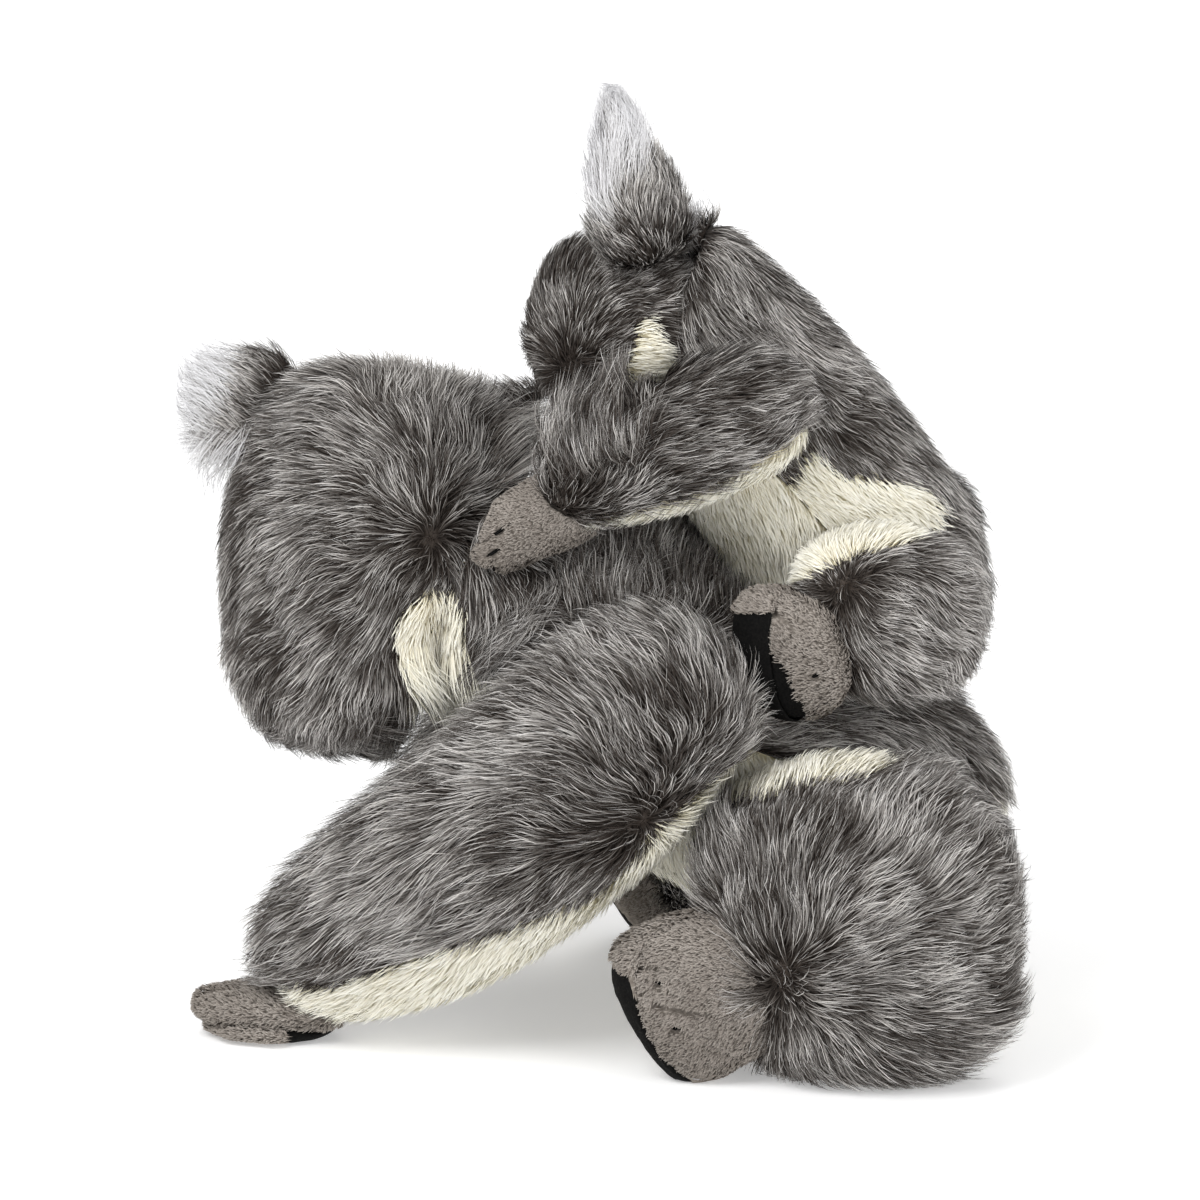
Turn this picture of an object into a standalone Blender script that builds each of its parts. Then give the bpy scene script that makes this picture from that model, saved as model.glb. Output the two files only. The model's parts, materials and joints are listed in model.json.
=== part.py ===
"""Plush koala mother with a joey on her back, modelled as its sewn and stuffed pieces.

The mother faces -X, her left side is -Y and +Z is up. Lengths are in metres. Every stuffed form
is a coarse cage of rings under a Subdivision Surface. Its skin is that form with a smaller one
taken out, split along a seam, and its stuffing fills what was taken out.
"""

import math

import bmesh
import bpy
from mathutils import Matrix, Vector
from mathutils.bvhtree import BVHTree

# Fits
GAP = 0.0004
FILL_GAP = 0.0006
OVERRUN = 0.400
FLOOR_Z = -0.005

# Mother's body: three points of the spine, and the sections along it
MOTHER_TAIL_X = 0.148
MOTHER_TAIL_Z = 0.062
MOTHER_MIDDLE_X = 0.052
MOTHER_MIDDLE_Z = 0.108
MOTHER_NECK_X = -0.086
MOTHER_NECK_Z = 0.188
MOTHER_BODY_WIDTH = 0.108
MOTHER_BODY_DEPTH = 0.124
MOTHER_SEAT_HALF_WIDTH = 0.048
MOTHER_SKIN = 0.0125
BACK_TILT = math.radians(23.0)
MOTHER_NECK_SEAT_X = -0.058
MOTHER_NECK_SEAT_Z = 0.180
MOTHER_SEAM_X = 0.060
MOTHER_SEAM_Z = 0.122
MOTHER_SEAM_TILT = math.radians(17.0)

# Mother's head, turned to her right and bowed
MOTHER_HEAD_X = -0.096
MOTHER_HEAD_Y = 0.005
MOTHER_HEAD_Z = 0.176
MOTHER_HEAD_HEIGHT = 0.152
MOTHER_HEAD_WIDTH = 0.124
MOTHER_HEAD_DEPTH = 0.112
MOTHER_FACE_YAW = math.radians(80.0)
MOTHER_FACE_PITCH = math.radians(27.0)
MOTHER_HEAD_ROLL = math.radians(8.0)
MOTHER_CHIN_DROP = 0.034
MOTHER_CHIN_TILT = math.radians(38.0)
MOTHER_EAR_SIDE = 0.055
MOTHER_EAR_UP = 0.054
MOTHER_EAR_BACK = 0.004
MOTHER_EAR_RADIUS = 0.023
MOTHER_EAR_THICKNESS = 0.018
MOTHER_MUZZLE_WIDTH = 0.058
MOTHER_MUZZLE_HEIGHT = 0.036
MOTHER_MUZZLE_DEPTH = 0.040
MOTHER_MUZZLE_DROP = 0.030
MOTHER_NOSE_WIDTH = 0.026
MOTHER_NOSE_HEIGHT = 0.036
MOTHER_NOSE_DEPTH = 0.018
MOTHER_NOSE_DROP = 0.006
MOTHER_EYE_WIDTH = 0.013
MOTHER_EYE_SIDE = 0.027
MOTHER_EYE_UP = 0.014

# Mother's arms: shoulder, elbow and wrist of the left arm
MOTHER_SHOULDER_X = 0.027
MOTHER_SHOULDER_Y = 0.076
MOTHER_SHOULDER_Z = 0.142
MOTHER_ELBOW_X = -0.050
MOTHER_ELBOW_Y = 0.073
MOTHER_ELBOW_Z = 0.070
MOTHER_WRIST_X = -0.123
MOTHER_WRIST_Y = 0.056
MOTHER_WRIST_Z = 0.023
MOTHER_ARM_WIDTH = 0.068
MOTHER_ARM_DEPTH = 0.088
MOTHER_ARM_SKIN = 0.0110
MOTHER_ARM_SEAM_DROP = 0.024
MOTHER_HAND_LENGTH = 0.064
MOTHER_HAND_WIDTH = 0.040
MOTHER_HAND_THICKNESS = 0.021
MOTHER_HAND_SPLAY = math.radians(4.0)
MOTHER_PALM_THICKNESS = 0.004
MOTHER_PALM_HEIGHT = 0.012
MOTHER_RIGHT_ARM_BACK = 0.045
MOTHER_ARM_RAISE = math.radians(8.0)

# Mother's legs: each thigh is a ball beside the rump, its foot turned on edge in front
MOTHER_HIP_X = 0.110
MOTHER_HIP_Y = 0.074
MOTHER_HIP_Z = 0.0593
MOTHER_THIGH_LENGTH = 0.126
MOTHER_THIGH_WIDTH = 0.094
MOTHER_THIGH_HEIGHT = 0.1430
MOTHER_LEG_SKIN = 0.0120
MOTHER_FOOT_LENGTH = 0.086
MOTHER_FOOT_HEIGHT = 0.072
MOTHER_FOOT_THICKNESS = 0.034
MOTHER_FOOT_FRONT = 0.094
MOTHER_FOOT_OUT = 0.015
MOTHER_FOOT_DROP = 0.044
MOTHER_FOOT_YAW = math.radians(-8.0)
MOTHER_FOOT_PITCH = math.radians(26.0)
MOTHER_SOLE_THICKNESS = 0.0022
MOTHER_SOLE_YAW = math.radians(20.0)
MOTHER_RIGHT_LEG_FORWARD = 0.038
MOTHER_LEG_RAISE = math.radians(5.0)

# Joey's body
JOEY_TAIL_X = 0.130
JOEY_TAIL_Z = 0.148
JOEY_MIDDLE_X = 0.082
JOEY_MIDDLE_Z = 0.218
JOEY_NECK_X = 0.006
JOEY_NECK_Z = 0.316
JOEY_BODY_WIDTH = 0.068
JOEY_BODY_DEPTH = 0.096
JOEY_SEAT_HALF_WIDTH = 0.030
JOEY_SKIN = 0.0090
JOEY_NECK_SEAT_X = 0.031
JOEY_NECK_SEAT_Z = 0.284
JOEY_NECK_TILT = math.radians(12.0)
JOEY_SEAM_X = 0.080
JOEY_SEAM_Z = 0.222
JOEY_SEAM_TILT = math.radians(48.0)

# Joey's head
JOEY_HEAD_X = 0.003
JOEY_HEAD_Y = 0.000
JOEY_HEAD_Z = 0.281
JOEY_HEAD_HEIGHT = 0.064
JOEY_HEAD_WIDTH = 0.062
JOEY_HEAD_DEPTH = 0.086
JOEY_FACE_YAW = math.radians(36.0)
JOEY_FACE_PITCH = math.radians(15.0)
JOEY_HEAD_ROLL = math.radians(26.0)
JOEY_CHIN_DROP = 0.014
JOEY_CHIN_TILT = math.radians(20.0)
JOEY_EAR_SIDE = 0.025
JOEY_EAR_UP = 0.036
JOEY_EAR_BACK = 0.031
JOEY_EAR_WIDTH = 0.042
JOEY_EAR_THICKNESS = 0.030
JOEY_EAR_ROOT = 0.018
JOEY_LEFT_TUFT = 0.045
JOEY_RIGHT_TUFT = 0.014
JOEY_NOSE_WIDTH = 0.014
JOEY_NOSE_HEIGHT = 0.018
JOEY_NOSE_DEPTH = 0.010
JOEY_NOSE_DROP = 0.004
JOEY_EYE_WIDTH = 0.008
JOEY_EYE_SIDE = 0.015
JOEY_EYE_UP = 0.007

# Joey's arms
JOEY_SHOULDER_X = 0.068
JOEY_SHOULDER_Y = 0.043
JOEY_SHOULDER_Z = 0.263
JOEY_ELBOW_X = 0.026
JOEY_ELBOW_Y = 0.052
JOEY_ELBOW_Z = 0.246
JOEY_WRIST_X = -0.020
JOEY_WRIST_Y = 0.048
JOEY_WRIST_Z = 0.225
JOEY_ARM_WIDTH = 0.030
JOEY_ARM_DEPTH = 0.052
JOEY_ARM_SKIN = 0.0075
JOEY_ARM_SEAM_DROP = 0.013
JOEY_HAND_LENGTH = 0.056
JOEY_HAND_WIDTH = 0.036
JOEY_HAND_THICKNESS = 0.015
JOEY_HAND_DROP = math.radians(24.0)
JOEY_HAND_SINK = 0.008
JOEY_RIGHT_HAND_DROP = 0.022
JOEY_RIGHT_HAND_BACK = 0.028

# Joey's legs
JOEY_HIP_X = 0.117
JOEY_HIP_Y = 0.045
JOEY_HIP_Z = 0.180
JOEY_THIGH_LENGTH = 0.073
JOEY_THIGH_WIDTH = 0.060
JOEY_THIGH_HEIGHT = 0.073
JOEY_LEG_SKIN = 0.0080
JOEY_FOOT_LENGTH = 0.048
JOEY_FOOT_HEIGHT = 0.060
JOEY_FOOT_THICKNESS = 0.022
JOEY_FOOT_FRONT = 0.055
JOEY_FOOT_OUT = 0.013
JOEY_FOOT_DROP = 0.017
JOEY_FOOT_YAW = math.radians(-20.0)
JOEY_FOOT_PITCH = math.radians(10.0)
JOEY_SOLE_THICKNESS = 0.0018
JOEY_SOLE_YAW = math.radians(52.0)
JOEY_RIGHT_LEG_FORWARD = 0.014
JOEY_LEG_RAISE = math.radians(8.0)

# Shapes, as shares of the sizes above
# A cage of eight-sided rings is drawn in by its subdivision, so rings are made larger by this share
SPREAD_SHARE = 1.08
RING_SIDES = 8
# Place along the spine, then half width and half depth
BODY_SHARES = (
    (0.00, 0.40, 0.40),
    (0.07, 0.76, 0.76),
    (0.26, 1.00, 0.95),
    (0.52, 0.97, 0.99),
    (0.78, 0.92, 0.90),
    (1.00, 0.76, 0.72),
)
JOEY_BODY_SHARES = (
    (0.00, 0.42, 0.42),
    (0.10, 0.80, 0.78),
    (0.34, 1.00, 1.00),
    (0.62, 0.96, 0.96),
    (0.84, 0.90, 0.86),
    (1.00, 0.78, 0.68),
)
# Height from the chin to the crown, then half width and half depth
HEAD_SHARES = (
    (0.00, 0.46, 0.46),
    (0.12, 0.80, 0.80),
    (0.40, 0.98, 0.98),
    (0.68, 1.00, 0.98),
    (0.90, 0.88, 0.80),
    (1.00, 0.54, 0.46),
)
ARM_SHARES = (
    (-0.16, 0.60, 0.56),
    (0.00, 1.00, 0.94),
    (0.30, 0.98, 1.00),
    (0.62, 0.92, 0.94),
    (0.88, 0.66, 0.64),
    (1.00, 0.44, 0.38),
)
# Along the thigh from its back to the knee, then half width and half height
THIGH_SHARES = (
    (0.00, 0.44, 0.46),
    (0.14, 0.80, 0.80),
    (0.46, 1.00, 1.00),
    (0.80, 0.86, 0.86),
    (1.00, 0.50, 0.54),
)
HAND_SHARES = (
    (0.00, 0.70, 0.80),
    (0.30, 1.00, 1.00),
    (0.66, 0.88, 0.80),
    (0.90, 0.66, 0.62),
    (1.00, 0.36, 0.34),
)
FOOT_SHARES = (
    (0.00, 0.60, 0.56),
    (0.34, 0.94, 0.92),
    (0.72, 1.00, 1.00),
    (0.93, 0.80, 0.78),
    (1.00, 0.44, 0.46),
)
# Up a tufted ear from its root, then half width and half thickness
TUFT_SHARES = (
    (0.00, 0.62, 0.70),
    (0.16, 0.98, 1.00),
    (0.38, 1.00, 1.00),
    (0.60, 0.70, 0.74),
    (0.84, 0.36, 0.42),
    (1.00, 0.14, 0.18),
)
EAR_TURN_SHARE = 0.10
EAR_LEAN_SHARE = 0.50
EAR_LINING_SHARE = 0.12
FEATURE_SINK_SHARE = 0.30
MUZZLE_FORWARD_SHARE = 0.34
ARM_SEAM_LEAN_SHARE = 0.50
PALM_SHARE = 0.86
HAND_ROOT_SHARE = 0.42
RIGHT_ELBOW_SHARE = 0.25
SOLE_WRAP_SHARE = 0.06
SWEEP_SHARES = (0.5, 1.0)

UP = Vector((0.0, 0.0, 1.0))
ACROSS = Vector((0.0, 1.0, 0.0))
SIDES = {"left": -1.0, "right": 1.0}

COLOURS = {
    "grey_fur": ((0.30, 0.28, 0.28), 0.95),
    "cream_fur": ((0.84, 0.82, 0.74), 0.95),
    "paw_plush": ((0.42, 0.40, 0.38), 0.9),
    "black_suede": ((0.02, 0.02, 0.02), 0.85),
    "black_plastic": ((0.01, 0.01, 0.01), 0.25),
    "stuffing": ((0.90, 0.90, 0.88), 1.0),
}


def clear_scene():
    """Removes what the scene holds at the start."""
    for item in list(bpy.data.objects):
        bpy.data.objects.remove(item, do_unlink=True)


def collection(name):
    """A new collection in the scene."""
    made = bpy.data.collections.new(name)
    bpy.context.scene.collection.children.link(made)
    return made


def paint(node, finish):
    """A Principled material of the node's own."""
    colour, roughness = COLOURS[finish]
    material = bpy.data.materials.new(node.name + "_" + finish)
    material.use_nodes = True
    shader = material.node_tree.nodes["Principled BSDF"]
    shader.inputs["Base Color"].default_value = (*colour, 1.0)
    shader.inputs["Roughness"].default_value = roughness
    shader.inputs["Metallic"].default_value = 0.0
    node.data.materials.clear()
    node.data.materials.append(material)


def curve_point(points, share):
    """A point of the smooth curve through three points, from 0 at the first to 1 at the last."""
    first, middle, last = points
    pull = 2.0 * middle - 0.5 * (first + last)
    rest = 1.0 - share
    return rest * rest * first + 2.0 * rest * share * pull + share * share * last


def ring_stations(points, shares, width, depth):
    """Centre, half width and half depth of each ring along the curve."""
    return [
        (curve_point(points, along), wide * 0.5 * width, deep * 0.5 * depth)
        for along, wide, deep in shares
    ]


def closed_mesh(name, shape):
    """The mesh of a closed shape, with its faces pointing outwards."""
    bmesh.ops.recalc_face_normals(shape, faces=shape.faces)
    if shape.calc_volume(signed=True) < 0.0:
        bmesh.ops.reverse_faces(shape, faces=shape.faces)
    mesh = bpy.data.meshes.new(name)
    shape.to_mesh(mesh)
    shape.free()
    return mesh


def loft(name, stations, across=ACROSS):
    """A closed cage of rings through the stations, with a flat cap at each end."""
    cage = bmesh.new()
    centres = [centre for centre, wide, deep in stations]
    last = len(stations) - 1
    rings = []
    for index, (centre, wide, deep) in enumerate(stations):
        along = centres[min(index + 1, last)] - centres[max(index - 1, 0)]
        along.normalize()
        side = (across - across.dot(along) * along).normalized()
        rise = along.cross(side)
        ring = []
        for step in range(RING_SIDES):
            angle = 2.0 * math.pi * (step + 0.5) / RING_SIDES
            place = centre + SPREAD_SHARE * wide * math.cos(angle) * side
            place = place + SPREAD_SHARE * deep * math.sin(angle) * rise
            ring.append(cage.verts.new(place))
        rings.append(ring)
    for lower, upper in zip(rings, rings[1:]):
        for step in range(RING_SIDES):
            after = (step + 1) % RING_SIDES
            cage.faces.new((lower[step], lower[after], upper[after], upper[step]))
    cage.faces.new(rings[0])
    cage.faces.new(rings[-1])
    return closed_mesh(name, cage)


def ball(name, size, frame, rings=6, segments=10):
    """A closed ellipsoid of the given full size in a frame of axes and place."""
    made = bmesh.new()
    bmesh.ops.create_uvsphere(made, u_segments=segments, v_segments=rings, radius=0.5)
    bmesh.ops.transform(made, matrix=frame @ Matrix.Diagonal((*size, 1.0)), verts=made.verts)
    return closed_mesh(name, made)


def frame_of(place, first, second):
    """A matrix whose X and Y axes lie along the two directions, at the place."""
    x_axis = first.normalized()
    y_axis = (second - second.dot(x_axis) * x_axis).normalized()
    z_axis = x_axis.cross(y_axis)
    turned = Matrix((x_axis, y_axis, z_axis)).transposed().to_4x4()
    return Matrix.Translation(place) @ turned


class Builder:
    """Makes nodes and cutters, and keeps them under the empties of their bodies."""

    def __init__(self):
        self.parts = collection("plush_koala")
        self.cutters = collection("cutters")
        self.root = bpy.data.objects.new("koala_root", None)
        self.parts.objects.link(self.root)
        self.bodies = {}
        self.body_cutters = {}

    def body(self, name, place):
        """An empty on the joint's axis, which carries the pieces of one body."""
        empty = bpy.data.objects.new(name + "_joint", None)
        empty.location = place
        self.parts.objects.link(empty)
        empty.parent = self.root
        self.bodies[name] = empty
        return empty

    def cutter(self, name, mesh, grow=0.0, level=1, spin=None, cuts=()):
        """A cutter or a guide with its surface moved outwards by grow."""
        made = bpy.data.objects.new("cut_" + name, mesh)
        self.cutters.objects.link(made)
        made.hide_render = True
        made.display_type = "WIRE"
        made.parent = self.root
        if spin is not None:
            made.matrix_local = spin
        self.shape(made, level, grow, cuts)
        return made

    def box(self, name, frame, low, high):
        """A box cutter between two corners given in the frame."""
        made = bmesh.new()
        bmesh.ops.create_cube(made, size=1.0)
        middle = Matrix.Translation(0.5 * (Vector(low) + Vector(high)))
        spread = Matrix.Diagonal((*(Vector(high) - Vector(low)), 1.0))
        bmesh.ops.transform(made, matrix=frame @ middle @ spread, verts=made.verts)
        return self.cutter(name, closed_mesh(name, made), level=0)

    def beyond(self, name, place, normal, start=0.0):
        """A box cutter that holds everything past a plane, on the side its normal points to."""
        helper = ACROSS if abs(normal.normalized().dot(ACROSS)) < 0.9 else UP
        frame = frame_of(place, normal, helper)
        low = (start, -OVERRUN, -OVERRUN)
        return self.box(name, frame, low, (OVERRUN, OVERRUN, OVERRUN))

    def sweep(self, name, mesh, pivot, angle):
        """Grown copies of a form as a limb meets it half way and all the way up to an angle."""
        copies = []
        for share in SWEEP_SHARES:
            turn = Matrix.Rotation(-share * angle, 4, ACROSS)
            spin = Matrix.Translation(pivot) @ turn @ Matrix.Translation(-pivot)
            copies.append(self.cutter("%s_%d" % (name, len(copies)), mesh, grow=GAP, spin=spin))
        return copies

    def shape(self, made, level, grow, cuts):
        """Adds the subdivision, the offset and the cuts, in that order.

        Faces are split alike before the offset, so a form and its grown copy never cross.
        """
        if level:
            smooth = made.modifiers.new("smooth", "SUBSURF")
            smooth.levels = level
            smooth.render_levels = level
        facets = made.modifiers.new("facets", "TRIANGULATE")
        facets.quad_method = "FIXED"
        if grow:
            offset = made.modifiers.new("offset", "DISPLACE")
            offset.mid_level = 0.0
            offset.strength = grow
        for index, tool in enumerate(cuts):
            cut = made.modifiers.new("cut_%d" % index, "BOOLEAN")
            cut.operation = "DIFFERENCE"
            cut.object = tool

    def node(self, name, mesh, body, finish, grow=0.0, level=1, less=()):
        """One piece: its mesh, less the cutters."""
        made = bpy.data.objects.new(name, mesh.copy())
        made.data.name = name
        self.parts.objects.link(made)
        empty = self.bodies[body]
        made.parent = empty
        made.matrix_parent_inverse = Matrix.Translation(-empty.location)
        self.shape(made, level, grow, less)
        paint(made, finish)
        return made


def surface_hit(guide, start, direction):
    """Where a line from inside a form leaves it, and the form's normal there."""
    bpy.context.view_layer.update()
    graph = bpy.context.evaluated_depsgraph_get()
    tree = BVHTree.FromObject(guide, graph)
    place, normal, face, reach = tree.ray_cast(start, direction)
    return place, normal


def stuffed(make, name, mesh, body, skin, less):
    """The filling of a form, and the cutter for its hollow."""
    core = bmesh.new()
    core.from_mesh(mesh)
    bmesh.ops.triangulate(core, faces=core.faces)
    facets = closed_mesh(name + "_form", core)
    hollow = make.cutter(name + "_hollow", facets, grow=-skin, level=0)
    make.node(name, facets, body, "stuffing", grow=-skin - FILL_GAP, level=0, less=less)
    return hollow


def head_axes(yaw, pitch, roll):
    """Forward, left and up directions of a head that is turned, bowed and rolled."""
    flat = math.cos(pitch)
    forward = Vector((-math.cos(yaw) * flat, math.sin(yaw) * flat, -math.sin(pitch)))
    left = UP.cross(forward).normalized()
    rise = forward.cross(left)
    rolled_left = math.cos(roll) * left + math.sin(roll) * rise
    rolled_up = math.cos(roll) * rise - math.sin(roll) * left
    return forward, rolled_left, rolled_up


def seam_pair(make, name, place, normal):
    """Two box cutters that leave a seam of one gap between two panels."""
    above = make.beyond(name + "_above", place, normal, -0.5 * GAP)
    below = make.beyond(name + "_below", place, -normal, -0.5 * GAP)
    return above, below


def build_body(make, who, body, points, size, shares, seam, seat_half_width, neck_cut, skin, less):
    """The body's back and belly panels with its stuffing, and the form that cuts its neighbours."""
    mesh = loft(who + "_body_form", ring_stations(points, shares, *size))
    cheeks = [
        make.beyond(who + "_cheek_" + side, sign * seat_half_width * ACROSS, sign * ACROSS)
        for side, sign in SIDES.items()
    ]
    cuts = (*cheeks, neck_cut, *less)
    hollow = stuffed(make, who + "_body_stuffing", mesh, body, skin, cuts)
    above, below = seam_pair(make, who + "_body_seam", *seam)
    make.node(who + "_back_panel", mesh, body, "grey_fur", less=(below, *cuts, hollow))
    make.node(who + "_belly_panel", mesh, body, "cream_fur", less=(above, *cuts, hollow))
    return mesh, make.cutter(who + "_body_grown", mesh, grow=GAP, cuts=(*cheeks, neck_cut))


def build_head(make, who, body, centre, size, axes, chin, skin, less):
    """The head's crown and chin panels with its stuffing."""
    width, depth, height = size
    forward, left, rise = axes
    points = (centre - 0.5 * height * rise, centre, centre + 0.5 * height * rise)
    mesh = loft(who + "_head_form", ring_stations(points, HEAD_SHARES, width, depth), left)
    guide = make.cutter(who + "_head_guide", mesh)
    grown = make.cutter(who + "_head_grown", mesh, grow=GAP)
    hollow = stuffed(make, who + "_head_stuffing", mesh, body, skin, less)
    drop, tilt = chin
    normal = math.cos(tilt) * rise - math.sin(tilt) * forward
    above, below = seam_pair(make, who + "_chin_seam", centre - drop * normal, normal)
    make.node(who + "_head_panel", mesh, body, "grey_fur", less=(below, *less, hollow))
    make.node(who + "_chin_panel", mesh, body, "cream_fur", less=(above, *less, hollow))
    return mesh, guide, grown


def build_round_ears(make, who, body, centre, axes, places, radius, thickness, less):
    """Round ears set into the sides of the crown, with a white lining in front."""
    forward, left, rise = axes
    side_reach, up_reach, back_reach = places
    for side, sign in (("left", 1.0), ("right", -1.0)):
        place = centre + sign * side_reach * left + up_reach * rise - back_reach * forward
        outward = (sign * side_reach * left + up_reach * rise).normalized()
        facing = (forward + sign * EAR_TURN_SHARE * left).normalized()
        frame = frame_of(place, facing, outward)
        full = 2.0 * radius
        mesh = ball(who + "_ear_form_" + side, (thickness, full, full), frame)
        split = place + EAR_LINING_SHARE * thickness * facing
        front, back = seam_pair(make, who + "_ear_seam_" + side, split, facing)
        make.node(who + "_ear_" + side, mesh, body, "grey_fur", level=0, less=(front, *less))
        lining = who + "_ear_lining_" + side
        make.node(lining, mesh, body, "cream_fur", level=0, less=(back, *less))


def build_tufted_ears(make, who, body, centre, axes, places, size, less):
    """Ears set into the sides of the crown, each drawn out into an upright tuft."""
    forward, left, rise = axes
    side_reach, up_reach, back_reach = places
    width, thickness, root, tufts = size
    for side, sign in (("left", 1.0), ("right", -1.0)):
        place = centre + sign * side_reach * left + up_reach * rise - back_reach * forward
        upright = (rise + sign * EAR_LEAN_SHARE * left).normalized()
        low = place - root * upright
        high = place + tufts[side] * upright
        points = (low, 0.5 * (low + high), high)
        stations = ring_stations(points, TUFT_SHARES, thickness, width)
        across = forward + sign * EAR_TURN_SHARE * left
        mesh = loft(who + "_ear_form_" + side, stations, across)
        make.node(who + "_ear_" + side, mesh, body, "grey_fur", less=less)


def build_face(make, who, body, centre, axes, guide, nose, eyes, cuts):
    """The nose and the eyes, each seated on the head."""
    forward, left, rise = axes
    width, height, depth, drop = nose
    start = centre - drop * rise
    place, normal = surface_hit(guide, start, forward)
    frame = frame_of(place + FEATURE_SINK_SHARE * depth * forward, forward, rise)
    mesh = ball(who + "_nose_form", (depth, height, width), frame)
    make.node(who + "_nose", mesh, body, "black_plastic", level=0, less=cuts)
    eye_width, eye_side, eye_up = eyes
    for side, sign in (("left", 1.0), ("right", -1.0)):
        start = centre + sign * eye_side * left + eye_up * rise
        place, normal = surface_hit(guide, start, forward)
        frame = frame_of(place, normal, rise)
        size = (eye_width, eye_width, eye_width)
        mesh = ball(who + "_eye_form_" + side, size, frame, segments=8)
        make.node(who + "_eye_" + side, mesh, body, "black_plastic", level=0, less=cuts[:1])


def build_arm(make, who, side, points, size, skin, seam_drop, seat, hinge, less):
    """An arm of a furred outer panel, a cream inner panel and its stuffing."""
    body = who + "_arm_" + side
    make.body(body, hinge)
    mesh = loft(body + "_form", ring_stations(points, ARM_SHARES, *size))
    cuts = (seat, *less)
    hollow = stuffed(make, who + "_arm_stuffing_" + side, mesh, body, skin, cuts)
    along = (points[2] - points[0]).normalized()
    outward = SIDES[side] * ACROSS
    lean = (UP + ARM_SEAM_LEAN_SHARE * outward).normalized()
    normal = (lean - lean.dot(along) * along).normalized()
    place = points[1] - seam_drop * normal
    above, below = seam_pair(make, body + "_seam", place, normal)
    make.node(body, mesh, body, "grey_fur", less=(below, *cuts, hollow))
    make.node(who + "_underarm_" + side, mesh, body, "cream_fur", less=(above, *cuts, hollow))
    return body, mesh, make.cutter(body + "_grown", mesh, grow=GAP)


def build_leg(make, who, side, centre, size, skin, seat, less):
    """A thigh ball of furred skin round its stuffing."""
    body = who + "_leg_" + side
    make.body(body, centre)
    length, width, height = size
    points = (
        centre + Vector((0.5 * length, 0.0, 0.0)),
        centre,
        centre - Vector((0.5 * length, 0.0, 0.0)),
    )
    mesh = loft(body + "_form", ring_stations(points, THIGH_SHARES, width, height))
    cuts = (seat, *less)
    hollow = stuffed(make, who + "_leg_stuffing_" + side, mesh, body, skin, cuts)
    make.node(body, mesh, body, "grey_fur", less=(*cuts, hollow))
    return body, make.cutter(body + "_grown", mesh, grow=GAP)


def build_foot(make, who, side, body, hip, size, front, out, drop, turn, sole, less):
    """A foot turned on edge, with a black sole over its inner side and its toes."""
    length, height, thickness = size
    sole_thickness, sole_yaw = sole
    sign = SIDES[side]
    yaw, pitch = turn
    level = Vector((-math.cos(yaw), sign * math.sin(yaw), 0.0))
    toes = math.cos(pitch) * level - math.sin(pitch) * UP
    tip = hip + Vector((-front, sign * out, -drop))
    points = (tip - length * toes, tip - 0.5 * length * toes, tip)
    across = sign * Vector((math.sin(yaw), math.cos(yaw), 0.0))
    stations = ring_stations(points, FOOT_SHARES, thickness, height)
    mesh = loft(body + "_foot_form", stations, across)
    make.node(who + "_foot_" + side, mesh, body, "paw_plush", less=less)
    facing = Vector((-math.sin(sole_yaw), -sign * math.cos(sole_yaw), 0.0))
    wrap = -SOLE_WRAP_SHARE * thickness
    behind = make.beyond(body + "_sole_behind", points[1], -facing, wrap)
    inner = make.cutter(body + "_foot_grown", mesh, grow=GAP)
    name = who + "_sole_" + side
    make.node(name, mesh, body, "black_suede", grow=sole_thickness, less=(behind, inner, *less))


def build_hand(make, who, side, body, wrist, size, direction, lift, less):
    """A short-piled mitt that reaches forward from the wrist."""
    length, width, thickness = size
    root = wrist - HAND_ROOT_SHARE * length * direction + lift
    tip = root + length * direction
    points = (root, 0.5 * (root + tip), tip)
    stations = ring_stations(points, HAND_SHARES, width, thickness)
    mesh = loft(body + "_hand_form", stations)
    make.node(who + "_hand_" + side, mesh, body, "paw_plush", less=less)
    return mesh, points


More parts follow.
